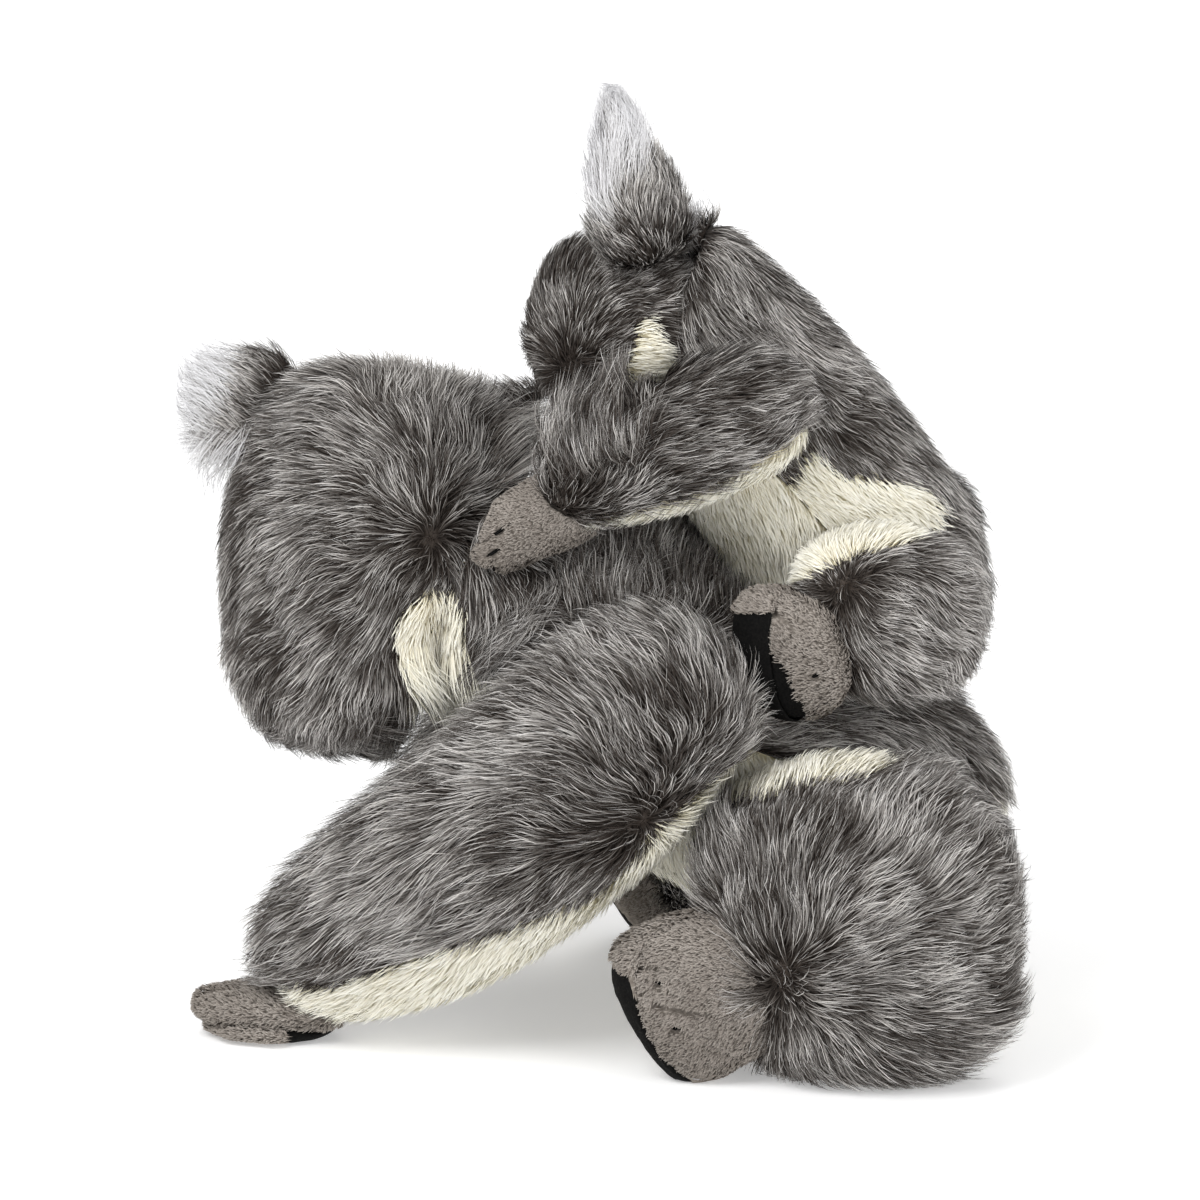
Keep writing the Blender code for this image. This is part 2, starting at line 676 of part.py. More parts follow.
def build_mother(make, floor):
    """Mother's body, head, arms and legs."""
    make.body("mother_body", Vector((MOTHER_MIDDLE_X, 0.0, MOTHER_MIDDLE_Z)))
    lift_axis = Vector((math.sin(BACK_TILT), 0.0, math.cos(BACK_TILT)))
    neck_axis = Vector((-math.cos(BACK_TILT), 0.0, math.sin(BACK_TILT)))
    neck_seat = Vector((MOTHER_NECK_SEAT_X, 0.0, MOTHER_NECK_SEAT_Z))
    past_neck = make.beyond("mother_past_neck", neck_seat, neck_axis)
    before_neck = make.beyond("mother_before_neck", neck_seat, -neck_axis, -GAP)
    spine = (
        Vector((MOTHER_TAIL_X, 0.0, MOTHER_TAIL_Z)),
        Vector((MOTHER_MIDDLE_X, 0.0, MOTHER_MIDDLE_Z)),
        Vector((MOTHER_NECK_X, 0.0, MOTHER_NECK_Z)),
    )
    seam_normal = Vector((math.sin(MOTHER_SEAM_TILT), 0.0, math.cos(MOTHER_SEAM_TILT)))
    seam = (Vector((MOTHER_SEAM_X, 0.0, MOTHER_SEAM_Z)), seam_normal)
    body_mesh, body_grown = build_body(
        make,
        "mother",
        "mother_body",
        spine,
        (MOTHER_BODY_WIDTH, MOTHER_BODY_DEPTH),
        BODY_SHARES,
        seam,
        MOTHER_SEAT_HALF_WIDTH,
        past_neck,
        MOTHER_SKIN,
        (),
    )
    make.body("mother_head", neck_seat)
    axes = head_axes(MOTHER_FACE_YAW, MOTHER_FACE_PITCH, MOTHER_HEAD_ROLL)
    forward, left, rise = axes
    centre = Vector((MOTHER_HEAD_X, MOTHER_HEAD_Y, MOTHER_HEAD_Z))
    head_mesh, head_guide, head_grown = build_head(
        make,
        "mother",
        "mother_head",
        centre,
        (MOTHER_HEAD_WIDTH, MOTHER_HEAD_DEPTH, MOTHER_HEAD_HEIGHT),
        axes,
        (MOTHER_CHIN_DROP, MOTHER_CHIN_TILT),
        MOTHER_SKIN,
        (before_neck,),
    )
    places = (MOTHER_EAR_SIDE, MOTHER_EAR_UP, MOTHER_EAR_BACK)
    build_round_ears(
        make,
        "mother",
        "mother_head",
        centre,
        axes,
        places,
        MOTHER_EAR_RADIUS,
        MOTHER_EAR_THICKNESS,
        (head_grown, before_neck),
    )
    start = centre - MOTHER_MUZZLE_DROP * rise
    place, normal = surface_hit(head_guide, start, forward)
    frame = frame_of(place - MUZZLE_FORWARD_SHARE * 0.5 * MOTHER_MUZZLE_DEPTH * forward, forward, rise)
    size = (MOTHER_MUZZLE_DEPTH, MOTHER_MUZZLE_HEIGHT, MOTHER_MUZZLE_WIDTH)
    muzzle_mesh = ball("mother_muzzle_form", size, frame)
    make.node("mother_muzzle", muzzle_mesh, "mother_head", "cream_fur", level=0, less=(head_grown,))
    muzzle_grown = make.cutter("mother_muzzle_grown", muzzle_mesh, grow=GAP, level=0)
    nose = (MOTHER_NOSE_WIDTH, MOTHER_NOSE_HEIGHT, MOTHER_NOSE_DEPTH, MOTHER_NOSE_DROP)
    eyes = (MOTHER_EYE_WIDTH, MOTHER_EYE_SIDE, MOTHER_EYE_UP)
    cuts = (head_grown, muzzle_grown)
    build_face(make, "mother", "mother_head", centre, axes, head_guide, nose, eyes, cuts)
    arm_meshes = {}
    for side, sign in SIDES.items():
        arm_meshes[side] = build_mother_limbs(make, side, sign, floor, body_mesh)
    at_neck = make.beyond("mother_at_neck", neck_seat, neck_axis, -GAP)
    return body_mesh, arm_meshes, (body_grown, head_grown), at_neck, lift_axis


def build_mother_limbs(make, side, sign, floor, body_mesh):
    """One arm and one leg of the mother, with hand, palm, foot and sole."""
    seat_place = sign * MOTHER_SEAT_HALF_WIDTH * ACROSS
    seat = make.beyond("mother_seat_" + side, seat_place, -sign * ACROSS, -GAP)
    back = MOTHER_RIGHT_ARM_BACK if side == "right" else 0.0
    shoulder = Vector((MOTHER_SHOULDER_X, sign * MOTHER_SHOULDER_Y, MOTHER_SHOULDER_Z))
    reach = (-sign * OVERRUN, sign * (MOTHER_SEAT_HALF_WIDTH + GAP))
    low = (MOTHER_ELBOW_X, min(reach), -OVERRUN)
    high = (OVERRUN, max(reach), OVERRUN)
    arm_seat = make.box("mother_arm_seat_" + side, Matrix.Identity(4), low, high)
    sweeps = make.sweep("mother_body_swept_" + side, body_mesh, shoulder, MOTHER_ARM_RAISE)
    elbow_x = MOTHER_ELBOW_X + RIGHT_ELBOW_SHARE * back
    elbow = Vector((elbow_x, sign * MOTHER_ELBOW_Y, MOTHER_ELBOW_Z))
    wrist = Vector((MOTHER_WRIST_X + back, sign * MOTHER_WRIST_Y, MOTHER_WRIST_Z))
    body, arm_mesh, arm_grown = build_arm(
        make,
        "mother",
        side,
        (shoulder, elbow, wrist),
        (MOTHER_ARM_WIDTH, MOTHER_ARM_DEPTH),
        MOTHER_ARM_SKIN,
        MOTHER_ARM_SEAM_DROP,
        arm_seat,
        shoulder,
        (floor, *sweeps),
    )
    lying = Vector((-math.cos(MOTHER_HAND_SPLAY), sign * math.sin(MOTHER_HAND_SPLAY), 0.0))
    half = 0.5 * MOTHER_HAND_THICKNESS
    level = FLOOR_Z + half + 0.5 * MOTHER_PALM_THICKNESS
    lift = Vector((0.0, 0.0, level - MOTHER_WRIST_Z))
    size = (MOTHER_HAND_LENGTH, MOTHER_HAND_WIDTH, MOTHER_HAND_THICKNESS)
    hand_mesh, points = build_hand(
        make, "mother", side, body, wrist, size, lying, lift, (arm_grown, floor)
    )
    hand_grown = make.cutter(body + "_hand_grown", hand_mesh, grow=GAP)
    length = PALM_SHARE * MOTHER_HAND_LENGTH
    middle = Vector((points[1].x, points[1].y, FLOOR_Z + MOTHER_PALM_THICKNESS))
    frame = frame_of(middle, lying, ACROSS)
    palm_size = (length, MOTHER_HAND_WIDTH, MOTHER_PALM_HEIGHT)
    palm_mesh = ball(body + "_palm_form", palm_size, frame)
    name = "mother_palm_" + side
    cuts = (hand_grown, arm_grown, floor)
    make.node(name, palm_mesh, body, "black_suede", level=0, less=cuts)
    forward = MOTHER_RIGHT_LEG_FORWARD if side == "right" else 0.0
    hip = Vector((MOTHER_HIP_X - forward, sign * MOTHER_HIP_Y, MOTHER_HIP_Z))
    leg_size = (MOTHER_THIGH_LENGTH, MOTHER_THIGH_WIDTH, MOTHER_THIGH_HEIGHT)
    arm_sweeps = make.sweep("mother_arm_swept_" + side, arm_mesh, hip, MOTHER_LEG_RAISE)
    body, leg_grown = build_leg(
        make, "mother", side, hip, leg_size, MOTHER_LEG_SKIN, seat, (floor, arm_grown, *arm_sweeps)
    )
    build_foot(
        make,
        "mother",
        side,
        body,
        hip,
        (MOTHER_FOOT_LENGTH, MOTHER_FOOT_HEIGHT, MOTHER_FOOT_THICKNESS),
        MOTHER_FOOT_FRONT,
        MOTHER_FOOT_OUT,
        MOTHER_FOOT_DROP,
        (MOTHER_FOOT_YAW, MOTHER_FOOT_PITCH),
        (MOTHER_SOLE_THICKNESS, MOTHER_SOLE_YAW),
        (leg_grown, seat, floor, arm_grown, *arm_sweeps),
    )
    return arm_mesh


def build_joey(make, back_mesh, arm_meshes, mother_cuts, at_neck):
    """Joey's body, head, arms and legs, seated on the mother's back."""
    make.body("joey_body", Vector((JOEY_MIDDLE_X, 0.0, JOEY_MIDDLE_Z)))
    neck_axis = Vector((-math.cos(JOEY_NECK_TILT), 0.0, math.sin(JOEY_NECK_TILT)))
    neck_seat = Vector((JOEY_NECK_SEAT_X, 0.0, JOEY_NECK_SEAT_Z))
    past_neck = make.beyond("joey_past_neck", neck_seat, neck_axis)
    before_neck = make.beyond("joey_before_neck", neck_seat, -neck_axis, -GAP)
    spine = (
        Vector((JOEY_TAIL_X, 0.0, JOEY_TAIL_Z)),
        Vector((JOEY_MIDDLE_X, 0.0, JOEY_MIDDLE_Z)),
        Vector((JOEY_NECK_X, 0.0, JOEY_NECK_Z)),
    )
    seam_normal = Vector((math.sin(JOEY_SEAM_TILT), 0.0, math.cos(JOEY_SEAM_TILT)))
    seam = (Vector((JOEY_SEAM_X, 0.0, JOEY_SEAM_Z)), seam_normal)
    build_body(
        make,
        "joey",
        "joey_body",
        spine,
        (JOEY_BODY_WIDTH, JOEY_BODY_DEPTH),
        JOEY_BODY_SHARES,
        seam,
        JOEY_SEAT_HALF_WIDTH,
        past_neck,
        JOEY_SKIN,
        mother_cuts,
    )
    make.body("joey_head", neck_seat)
    axes = head_axes(JOEY_FACE_YAW, JOEY_FACE_PITCH, JOEY_HEAD_ROLL)
    centre = Vector((JOEY_HEAD_X, JOEY_HEAD_Y, JOEY_HEAD_Z))
    head_mesh, head_guide, head_grown = build_head(
        make,
        "joey",
        "joey_head",
        centre,
        (JOEY_HEAD_WIDTH, JOEY_HEAD_DEPTH, JOEY_HEAD_HEIGHT),
        axes,
        (JOEY_CHIN_DROP, JOEY_CHIN_TILT),
        JOEY_SKIN,
        (before_neck, *mother_cuts),
    )
    tufts = {"left": JOEY_LEFT_TUFT, "right": JOEY_RIGHT_TUFT}
    build_tufted_ears(
        make,
        "joey",
        "joey_head",
        centre,
        axes,
        (JOEY_EAR_SIDE, JOEY_EAR_UP, JOEY_EAR_BACK),
        (JOEY_EAR_WIDTH, JOEY_EAR_THICKNESS, JOEY_EAR_ROOT, tufts),
        (head_grown, before_neck),
    )
    nose = (JOEY_NOSE_WIDTH, JOEY_NOSE_HEIGHT, JOEY_NOSE_DEPTH, JOEY_NOSE_DROP)
    eyes = (JOEY_EYE_WIDTH, JOEY_EYE_SIDE, JOEY_EYE_UP)
    build_face(make, "joey", "joey_head", centre, axes, head_guide, nose, eyes, (head_grown,))
    for side, sign in SIDES.items():
        build_joey_limbs(make, side, sign, back_mesh, arm_meshes[side], mother_cuts, at_neck)


def build_joey_limbs(make, side, sign, back_mesh, under_mesh, mother_cuts, at_neck):
    """One arm and one leg of the joey, with hand, foot and sole, clear of the mother's arm under them."""
    seat_place = sign * JOEY_SEAT_HALF_WIDTH * ACROSS
    seat = make.beyond("joey_seat_" + side, seat_place, -sign * ACROSS, -GAP)
    drop = JOEY_RIGHT_HAND_DROP if side == "right" else 0.0
    back = JOEY_RIGHT_HAND_BACK if side == "right" else 0.0
    shoulder = Vector((JOEY_SHOULDER_X, sign * JOEY_SHOULDER_Y, JOEY_SHOULDER_Z))
    elbow_x = JOEY_ELBOW_X + RIGHT_ELBOW_SHARE * back
    elbow = Vector((elbow_x, sign * JOEY_ELBOW_Y, JOEY_ELBOW_Z - 0.5 * drop))
    wrist = Vector((JOEY_WRIST_X + back, sign * JOEY_WRIST_Y, JOEY_WRIST_Z - drop))
    body, arm_mesh, arm_grown = build_arm(
        make,
        "joey",
        side,
        (shoulder, elbow, wrist),
        (JOEY_ARM_WIDTH, JOEY_ARM_DEPTH),
        JOEY_ARM_SKIN,
        JOEY_ARM_SEAM_DROP,
        seat,
        shoulder,
        mother_cuts,
    )
    reach = Vector((-math.cos(JOEY_HAND_DROP), 0.0, -math.sin(JOEY_HAND_DROP)))
    size = (JOEY_HAND_LENGTH, JOEY_HAND_THICKNESS, JOEY_HAND_WIDTH)
    cuts = (arm_grown, at_neck, *mother_cuts)
    build_hand(make, "joey", side, body, wrist, size, reach, -JOEY_HAND_SINK * UP, cuts)
    forward = JOEY_RIGHT_LEG_FORWARD if side == "right" else 0.0
    hip = Vector((JOEY_HIP_X - forward, sign * JOEY_HIP_Y, JOEY_HIP_Z))
    leg_size = (JOEY_THIGH_LENGTH, JOEY_THIGH_WIDTH, JOEY_THIGH_HEIGHT)
    sweeps = make.sweep("mother_back_swept_" + side, back_mesh, hip, JOEY_LEG_RAISE)
    under = make.sweep("mother_arm_under_" + side, under_mesh, hip, JOEY_LEG_RAISE)
    leg_cuts = (mother_cuts[0], *sweeps, *under)
    body, leg_grown = build_leg(
        make, "joey", side, hip, leg_size, JOEY_LEG_SKIN, seat, leg_cuts
    )
    build_foot(
        make,
        "joey",
        side,
        body,
        hip,
        (JOEY_FOOT_LENGTH, JOEY_FOOT_HEIGHT, JOEY_FOOT_THICKNESS),
        JOEY_FOOT_FRONT - forward,
        JOEY_FOOT_OUT,
        JOEY_FOOT_DROP,
        (JOEY_FOOT_YAW, JOEY_FOOT_PITCH),
        (JOEY_SOLE_THICKNESS, JOEY_SOLE_YAW),
        (leg_grown, seat, *leg_cuts),
    )


def corners(make):
    """The lowest and highest corner of all pieces."""
    bpy.context.view_layer.update()
    graph = bpy.context.evaluated_depsgraph_get()
    low = [OVERRUN] * 3
    high = [-OVERRUN] * 3
    for node in make.parts.objects:
        if node.type != "MESH":
            continue
        shown = node.evaluated_get(graph)
        for vertex in shown.data.vertices:
            place = shown.matrix_world @ vertex.co
            low = [min(a, b) for a, b in zip(low, place)]
            high = [max(a, b) for a, b in zip(high, place)]
    return low, high


def main():
    clear_scene()
    make = Builder()
    floor = make.beyond("floor", Vector((0.0, 0.0, FLOOR_Z)), -UP)
    body_mesh, arm_meshes, mother_cuts, at_neck, lift_axis = build_mother(make, floor)
    build_joey(make, body_mesh, arm_meshes, mother_cuts, at_neck)
    low, high = corners(make)
    centre = Vector((0.5 * (low[0] + high[0]), 0.5 * (low[1] + high[1]), low[2]))
    make.root.location = -centre
    bpy.context.view_layer.update()
    for name, empty in make.bodies.items():
        place = empty.matrix_world.translation
        print("joint place", name, [round(value, 5) for value in place])
    print("lift axis", [round(value, 5) for value in lift_axis])
    print("size", [round(b - a, 5) for a, b in zip(low, high)])


main()
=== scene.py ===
"""A plush koala crouching with her joey on her back: stuffed skins, combed pile, bead eyes, light and camera."""

import json
import math
from collections import namedtuple

import bmesh
import bpy
import numpy as np
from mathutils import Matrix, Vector
from mathutils.bvhtree import BVHTree
from mathutils.kdtree import KDTree

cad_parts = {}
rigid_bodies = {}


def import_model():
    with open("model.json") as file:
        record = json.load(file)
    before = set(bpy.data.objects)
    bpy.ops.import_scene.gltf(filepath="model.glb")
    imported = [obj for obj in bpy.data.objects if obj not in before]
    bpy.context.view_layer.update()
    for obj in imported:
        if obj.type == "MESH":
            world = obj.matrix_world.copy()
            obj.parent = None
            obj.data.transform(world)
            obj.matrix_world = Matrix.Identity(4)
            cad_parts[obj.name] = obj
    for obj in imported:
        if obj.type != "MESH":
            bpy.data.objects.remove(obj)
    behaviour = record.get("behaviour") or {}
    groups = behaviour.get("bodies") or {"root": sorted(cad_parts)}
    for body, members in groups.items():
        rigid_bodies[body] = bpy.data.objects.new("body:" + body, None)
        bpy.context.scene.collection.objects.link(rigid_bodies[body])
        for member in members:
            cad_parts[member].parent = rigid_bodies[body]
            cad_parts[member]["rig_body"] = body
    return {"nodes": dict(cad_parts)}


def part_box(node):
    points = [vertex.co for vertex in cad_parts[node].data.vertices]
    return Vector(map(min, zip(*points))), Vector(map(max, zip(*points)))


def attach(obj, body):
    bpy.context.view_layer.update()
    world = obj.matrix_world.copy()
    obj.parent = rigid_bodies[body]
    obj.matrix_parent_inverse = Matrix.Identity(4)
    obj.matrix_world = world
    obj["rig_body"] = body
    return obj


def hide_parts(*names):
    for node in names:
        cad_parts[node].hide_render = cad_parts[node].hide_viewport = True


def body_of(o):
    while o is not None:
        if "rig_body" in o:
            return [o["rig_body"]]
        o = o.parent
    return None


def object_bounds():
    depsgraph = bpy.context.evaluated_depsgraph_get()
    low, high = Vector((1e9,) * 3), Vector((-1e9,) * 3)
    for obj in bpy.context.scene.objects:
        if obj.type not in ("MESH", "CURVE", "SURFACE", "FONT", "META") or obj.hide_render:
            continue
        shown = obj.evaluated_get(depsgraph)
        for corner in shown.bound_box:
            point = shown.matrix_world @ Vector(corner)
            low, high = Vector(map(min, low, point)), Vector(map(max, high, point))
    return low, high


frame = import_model()
CAD_BOX = [list(corner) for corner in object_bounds()]

NODES = frame["nodes"]
SIDES = ("left", "right")
# The map that the pile's colours are read from
MAP = "OFBake"

# How far the pile may stand past the CAD box, and how near the floor it may come
SPARE = np.array((0.009, 0.0075, 0.01))
LOWEST = 0.0004
LOW = (CAD_BOX[0][0] - SPARE[0], CAD_BOX[0][1] - SPARE[1], LOWEST)
HIGH = tuple(CAD_BOX[1][k] + SPARE[k] for k in range(3))
# Below this height the pile is pressed together
FLOOR_DEPTH = 0.004
# A place is open if nothing stands nearer in front of it; how far and from where rays look
OPEN_GAP, FREE_REACH, RAY_START = 0.0025, 0.03, 0.00005
SHARE_OF_STRANDS = 0.88


def unit(rows):
    return rows / np.maximum(np.linalg.norm(rows, axis=-1, keepdims=True), 1e-12)


def mixed(a, b, share):
    return a + (b - a) * share


def smooth_field(seed, wave, count=7):
    """A smooth random field with about this wavelength and a spread of one."""
    rng = np.random.default_rng(seed)
    turns = unit(rng.normal(size=(count, 3))) * rng.uniform(0.7, 1.4, (count, 1)) * 2 * math.pi / wave
    starts = rng.uniform(0, 2 * math.pi, count)
    return lambda places: np.sin(places @ turns.T + starts).sum(1) * math.sqrt(2 / count)


def add_object(name, data):
    made = bpy.data.objects.new(name, data)
    bpy.context.scene.collection.objects.link(made)
    return made


# ---- Colours and materials. Colours are given as they show on a screen, from 0 to 255

# How much the dull materials reflect
DULL, MATT = 0.12, 0.1
# The colour sockets of a mix node
MIX_FIRST, MIX_SECOND, MIX_OUT = 6, 7, 2
# Where a grain's two tones lie in its noise, the noise's detail and its bumps' depth
GRAIN_FROM, GRAIN_TO, GRAIN_DETAIL, GRAIN_DEPTH = 0.35, 0.68, 4.0, 0.0006


def shade(red, green, blue):
    linear = [((c / 255 + 0.055) / 1.055) ** 2.4 if c > 10 else c / 255 / 12.92 for c in (red, green, blue)]
    return (*linear, 1.0)


def principled(name, **values):
    material = bpy.data.materials.new(name)
    material.use_nodes = True
    shader = material.node_tree.nodes["Principled BSDF"]
    for socket, value in values.items():
        shader.inputs[socket.replace("_", " ")].default_value = value
    return material, material.node_tree, shader


def add_node(tree, kind, **inputs):
    """A shader node whose inputs, by name, are set to a value or linked to an output."""
    node = tree.nodes.new("ShaderNode" + kind)
    for name, value in inputs.items():
        socket = node.inputs[name]
        if isinstance(value, bpy.types.NodeSocket):
            tree.links.new(value, socket)
        else:
            socket.default_value = value
    return node


def ramp(tree, source, stops):
    """A colour that runs through stops of place, red, green and blue."""
    node = add_node(tree, "ValToRGB", Fac=source)
    elements = node.color_ramp.elements
    while len(elements) < len(stops):
        elements.new(0.5)
    for element, (place, *colour) in zip(elements, stops):
        element.position = place
        element.color = shade(*colour)
    return node.outputs["Color"]


def pile_material(name, dark, light, roughness=0.62):
    """Strands that run from root to tip in one of many tones between a dark and a light one."""
    material, tree, shader = principled(name, Roughness=roughness, Specular_IOR_Level=DULL)
    place = add_node(tree, "UVMap")
    place.uv_map = MAP
    split = add_node(tree, "SeparateXYZ", Vector=place.outputs["UV"])
    blend = add_node(tree, "Mix", Factor=split.outputs["X"])
    blend.data_type = "RGBA"
    for socket, stops in ((MIX_FIRST, dark), (MIX_SECOND, light)):
        tree.links.new(ramp(tree, split.outputs["Y"], stops), blend.inputs[socket])
    tree.links.new(blend.outputs[MIX_OUT], shader.inputs["Base Color"])
    return material


def cloth_material(name, first, second, grain, depth, roughness, **values):
    """A backing, suede or moulding with two tones of a fine grain."""
    material, tree, shader = principled(name, Roughness=roughness, **values)
    place = add_node(tree, "TexCoord").outputs["Object"]
    noise = add_node(tree, "TexNoise", Vector=place, Scale=grain, Detail=GRAIN_DETAIL).outputs["Fac"]
    bump = add_node(tree, "Bump", Strength=depth, Distance=GRAIN_DEPTH, Height=noise)
    colour = ramp(tree, noise, ((GRAIN_FROM, *first), (GRAIN_TO, *second)))
    tree.links.new(colour, shader.inputs["Base Color"])
    tree.links.new(bump.outputs["Normal"], shader.inputs["Normal"])
    return material


PILES = {
    "grey": pile_material(
        "frosted grey pile",
        ((0.0, 20, 15, 12), (0.45, 42, 35, 30), (0.8, 64, 57, 52), (1.0, 54, 47, 43)),
        ((0.0, 52, 45, 40), (0.35, 112, 106, 101), (0.7, 210, 206, 201), (1.0, 244, 242, 240)),
    ),
    "cream": pile_material(
        "cream pile",
        ((0.0, 234, 224, 190), (0.5, 247, 241, 220), (1.0, 250, 247, 234)),
        ((0.0, 243, 236, 208), (0.5, 253, 250, 236), (1.0, 255, 254, 247)),
    ),
    "frost": pile_material(
        "white fringe pile",
        ((0.0, 112, 106, 101), (0.4, 162, 158, 155), (1.0, 206, 206, 208)),
        ((0.0, 172, 168, 164), (0.4, 222, 221, 221), (1.0, 246, 246, 249)),
    ),
    "paw": pile_material(
        "short paw pile",
        ((0.0, 108, 100, 92), (0.6, 140, 132, 124), (1.0, 158, 150, 142)),
        ((0.0, 118, 110, 102), (0.6, 164, 156, 148), (1.0, 190, 183, 175)),
        roughness=0.75,
    ),
}
DULLER = {"Specular_IOR_Level": MATT}
COATED = {"Coat_Weight": 0.6, "Coat_Roughness": 0.05}
# The other surfaces: name, two tones, grain, bump, roughness and more
BACKINGS = {
    "grey": cloth_material("grey backing", (52, 45, 40), (84, 76, 70), 260.0, 0.5, 0.9, **DULLER),
    "cream": cloth_material("cream backing", (234, 224, 190), (244, 236, 208), 260.0, 0.5, 0.9),
    "paw": cloth_material("paw backing", (112, 104, 96), (150, 142, 133), 420.0, 0.6, 0.9),
    "suede": cloth_material("black suede", (8, 8, 8), (20, 19, 18), 900.0, 0.7, 0.9, Specular_IOR_Level=DULL),
    "filling": cloth_material("loose fibre", (226, 226, 222), (246, 246, 243), 180.0, 1.0, 0.95),
    "bead": cloth_material("black bead", (8, 7, 7), (14, 12, 11), 300.0, 0.02, 0.12, **COATED),
    "nose": cloth_material("moulded nose", (16, 15, 15), (30, 28, 27), 1500.0, 0.35, 0.38),
}


# ---- Where skins carry other pile. Outlines are drawn in millimetres on the plane of the side view, across and up

AZIMUTH, ELEVATION = math.radians(8.0), math.radians(18.0)
ACROSS_VIEW = np.array((math.cos(AZIMUTH), math.sin(AZIMUTH), 0.0))
INTO_VIEW = np.array(
    (-math.sin(AZIMUTH) * math.cos(ELEVATION), math.cos(AZIMUTH) * math.cos(ELEVATION), -math.sin(ELEVATION))
)
UP_VIEW = np.cross(ACROSS_VIEW, INTO_VIEW)
FLIP = np.array((1.0, -1.0, 1.0))

# Cream areas
MOTHER_BIB = (
    (-87, 152), (-81, 161), (-72, 166), (-63, 165), (-60, 152),
    (-60, 136), (-66, 121), (-75, 116), (-81, 126), (-85, 139),
)
THIGH_STRIP = ((46, 80), (50, 104), (108, 106), (111, 95), (96, 90), (84, 88), (70, 86), (60, 82))
JOEY_BIB = ((10, 275), (14, 274), (19, 264), (22, 255), (18, 247), (10, 240), (3, 240), (5, 254), (8, 264))
JOEY_FLANK = (
    (46, 162), (54, 180), (64, 196), (74, 215), (80, 223), (88, 212),
    (116, 209), (130, 203), (127, 191), (116, 184), (98, 180), (74, 170),
)
# The nodes that carry them, and how far off the middle they stay there
CREAM_OUTLINES = (
    (("mother_head_panel", "mother_back_panel", "mother_chin_panel"), MOTHER_BIB, 0.012),
    (("mother_leg",), THIGH_STRIP, -1),
    (("joey_leg",), JOEY_FLANK, -1),
    (("joey_head_panel", "joey_chin_panel", "joey_back_panel"), JOEY_BIB, -1),
    (("joey_back_panel",), JOEY_FLANK, 0.012),
)
# Lines that cream lies below
CREAM_EDGES = {
    "mother_arm": ((-114, 8), (-92, 15), (-42, 31), (-2, 47), (15, 69), (38, 89), (49, 97)),
    "joey_arm": ((-40, 158), (0, 175), (10, 182), (34, 192), (58, 206), (80, 222)),
}
# Where suede ends, as the place across at each height
MOTHER_SOLE_EDGE = (
    (-26, 30), (-22, 23), (-16, 20), (-10, 14), (-2, 10), (6, 7),
    (12, 5), (13, 1), (18, -4), (23, -5), (28, -2), (36, 8),
)
JOEY_SOLE_EDGE = ((100, 80), (119, 77), (124, 73), (134, 70), (142, 62), (154, 58), (157, 40))
JOEY_TOE_HEIGHT = 157
PALM_FRONT = -131
# Where tufts of their own stand
NAPE = ((-54, 205), (-54, 266), (-10, 266), (-10, 205))
SADDLE = ((-20, 150), (-20, 200), (70, 200), (70, 150))
CUFF = ((-36, 200), (-36, 250), (16, 250), (16, 219))
JOWL = ((-106, 98), (-106, 126), (-86, 136), (-78, 118), (-80, 98))
BIB_HEM = ((-94, 108), (-90, 150), (-58, 150), (-60, 108))
# Where strands are kept shorter: node, outline, share of the length
TRIMS = (
    ("mother_head", ((-160, 150), (-160, 260), (-122, 260), (-122, 150)), 0.72),
    ("mother_chin", ((-112, 60), (-112, 112), (-86, 112), (-78, 60)), 0.62),
    ("mother_back", ((120, 0), (120, 150), (190, 150), (190, 0)), 0.7),
    ("mother_leg", ((128, 0), (128, 120), (190, 120), (190, 0)), 0.7),
    ("joey_arm", ((-70, 170), (-70, 226), (-24, 226), (-16, 170)), 0.55),
    ("joey_arm_right", ((20, 230), (20, 320), (130, 320), (130, 230)), 0.45),
)
# Pile by eyes and nose: the share of length kept, and how far off it is whole again
FACE_LEAST, FACE_REACH = 0.16, {"mother": 0.03, "joey": 0.02}
# The pale rim of the mother's ears: where it starts off the middle, and the slope of that line
RIM_START, RIM_SLOPE = -0.0045, 0.35
# The pale top and front of the joey's tufts: from which share of the height, up to which place
TUFT_TOP, TUFT_TOP_END, TUFT_FRONT, TUFT_FRONT_END = 0.52, 0.005, 0.26, -0.004
# How ragged the edges of areas are, in pile and in suede
RAGGED, TRIM_EDGE = 0.0012, 0.0005


def box_of(node):
    return [np.array(corner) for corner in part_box(node)]


def middle_of(node):
    low, high = box_of(node)
    return 0.5 * (low + high)


def as_left(node, places):
    """Places on a right-hand piece as if they were on its twin on the left."""
    if not node.endswith("_right"):
        return places
    return middle_of(node[: -len("right")] + "left") + (places - middle_of(node)) * FLIP


def on_view(node, places):
    """Where places show on the side view, in millimetres."""
    p = as_left(node, places)
    if not node.endswith(SIDES):
        p = np.stack((p[:, 0], -np.abs(p[:, 1]), p[:, 2]), 1)
    return 1000 * (p @ ACROSS_VIEW), 1000 * (p @ UP_VIEW)


def in_outline(across, up, outline):
    inside = np.zeros(len(across), bool)
    for (ax, az), (bx, bz) in zip(outline, outline[1:] + outline[:1]):
        if az == bz:
            continue
        crosses = (az > up) != (bz > up)
        inside ^= crosses & (across < ax + (bx - ax) * (up - az) / (bz - az))
    return inside


def line_at(spots, line):
    """A line of points read at each spot on its first axis."""
    return np.interp(spots, *np.transpose(line))


def area_in(outline):
    return lambda node, places: in_outline(*on_view(node, places), outline)


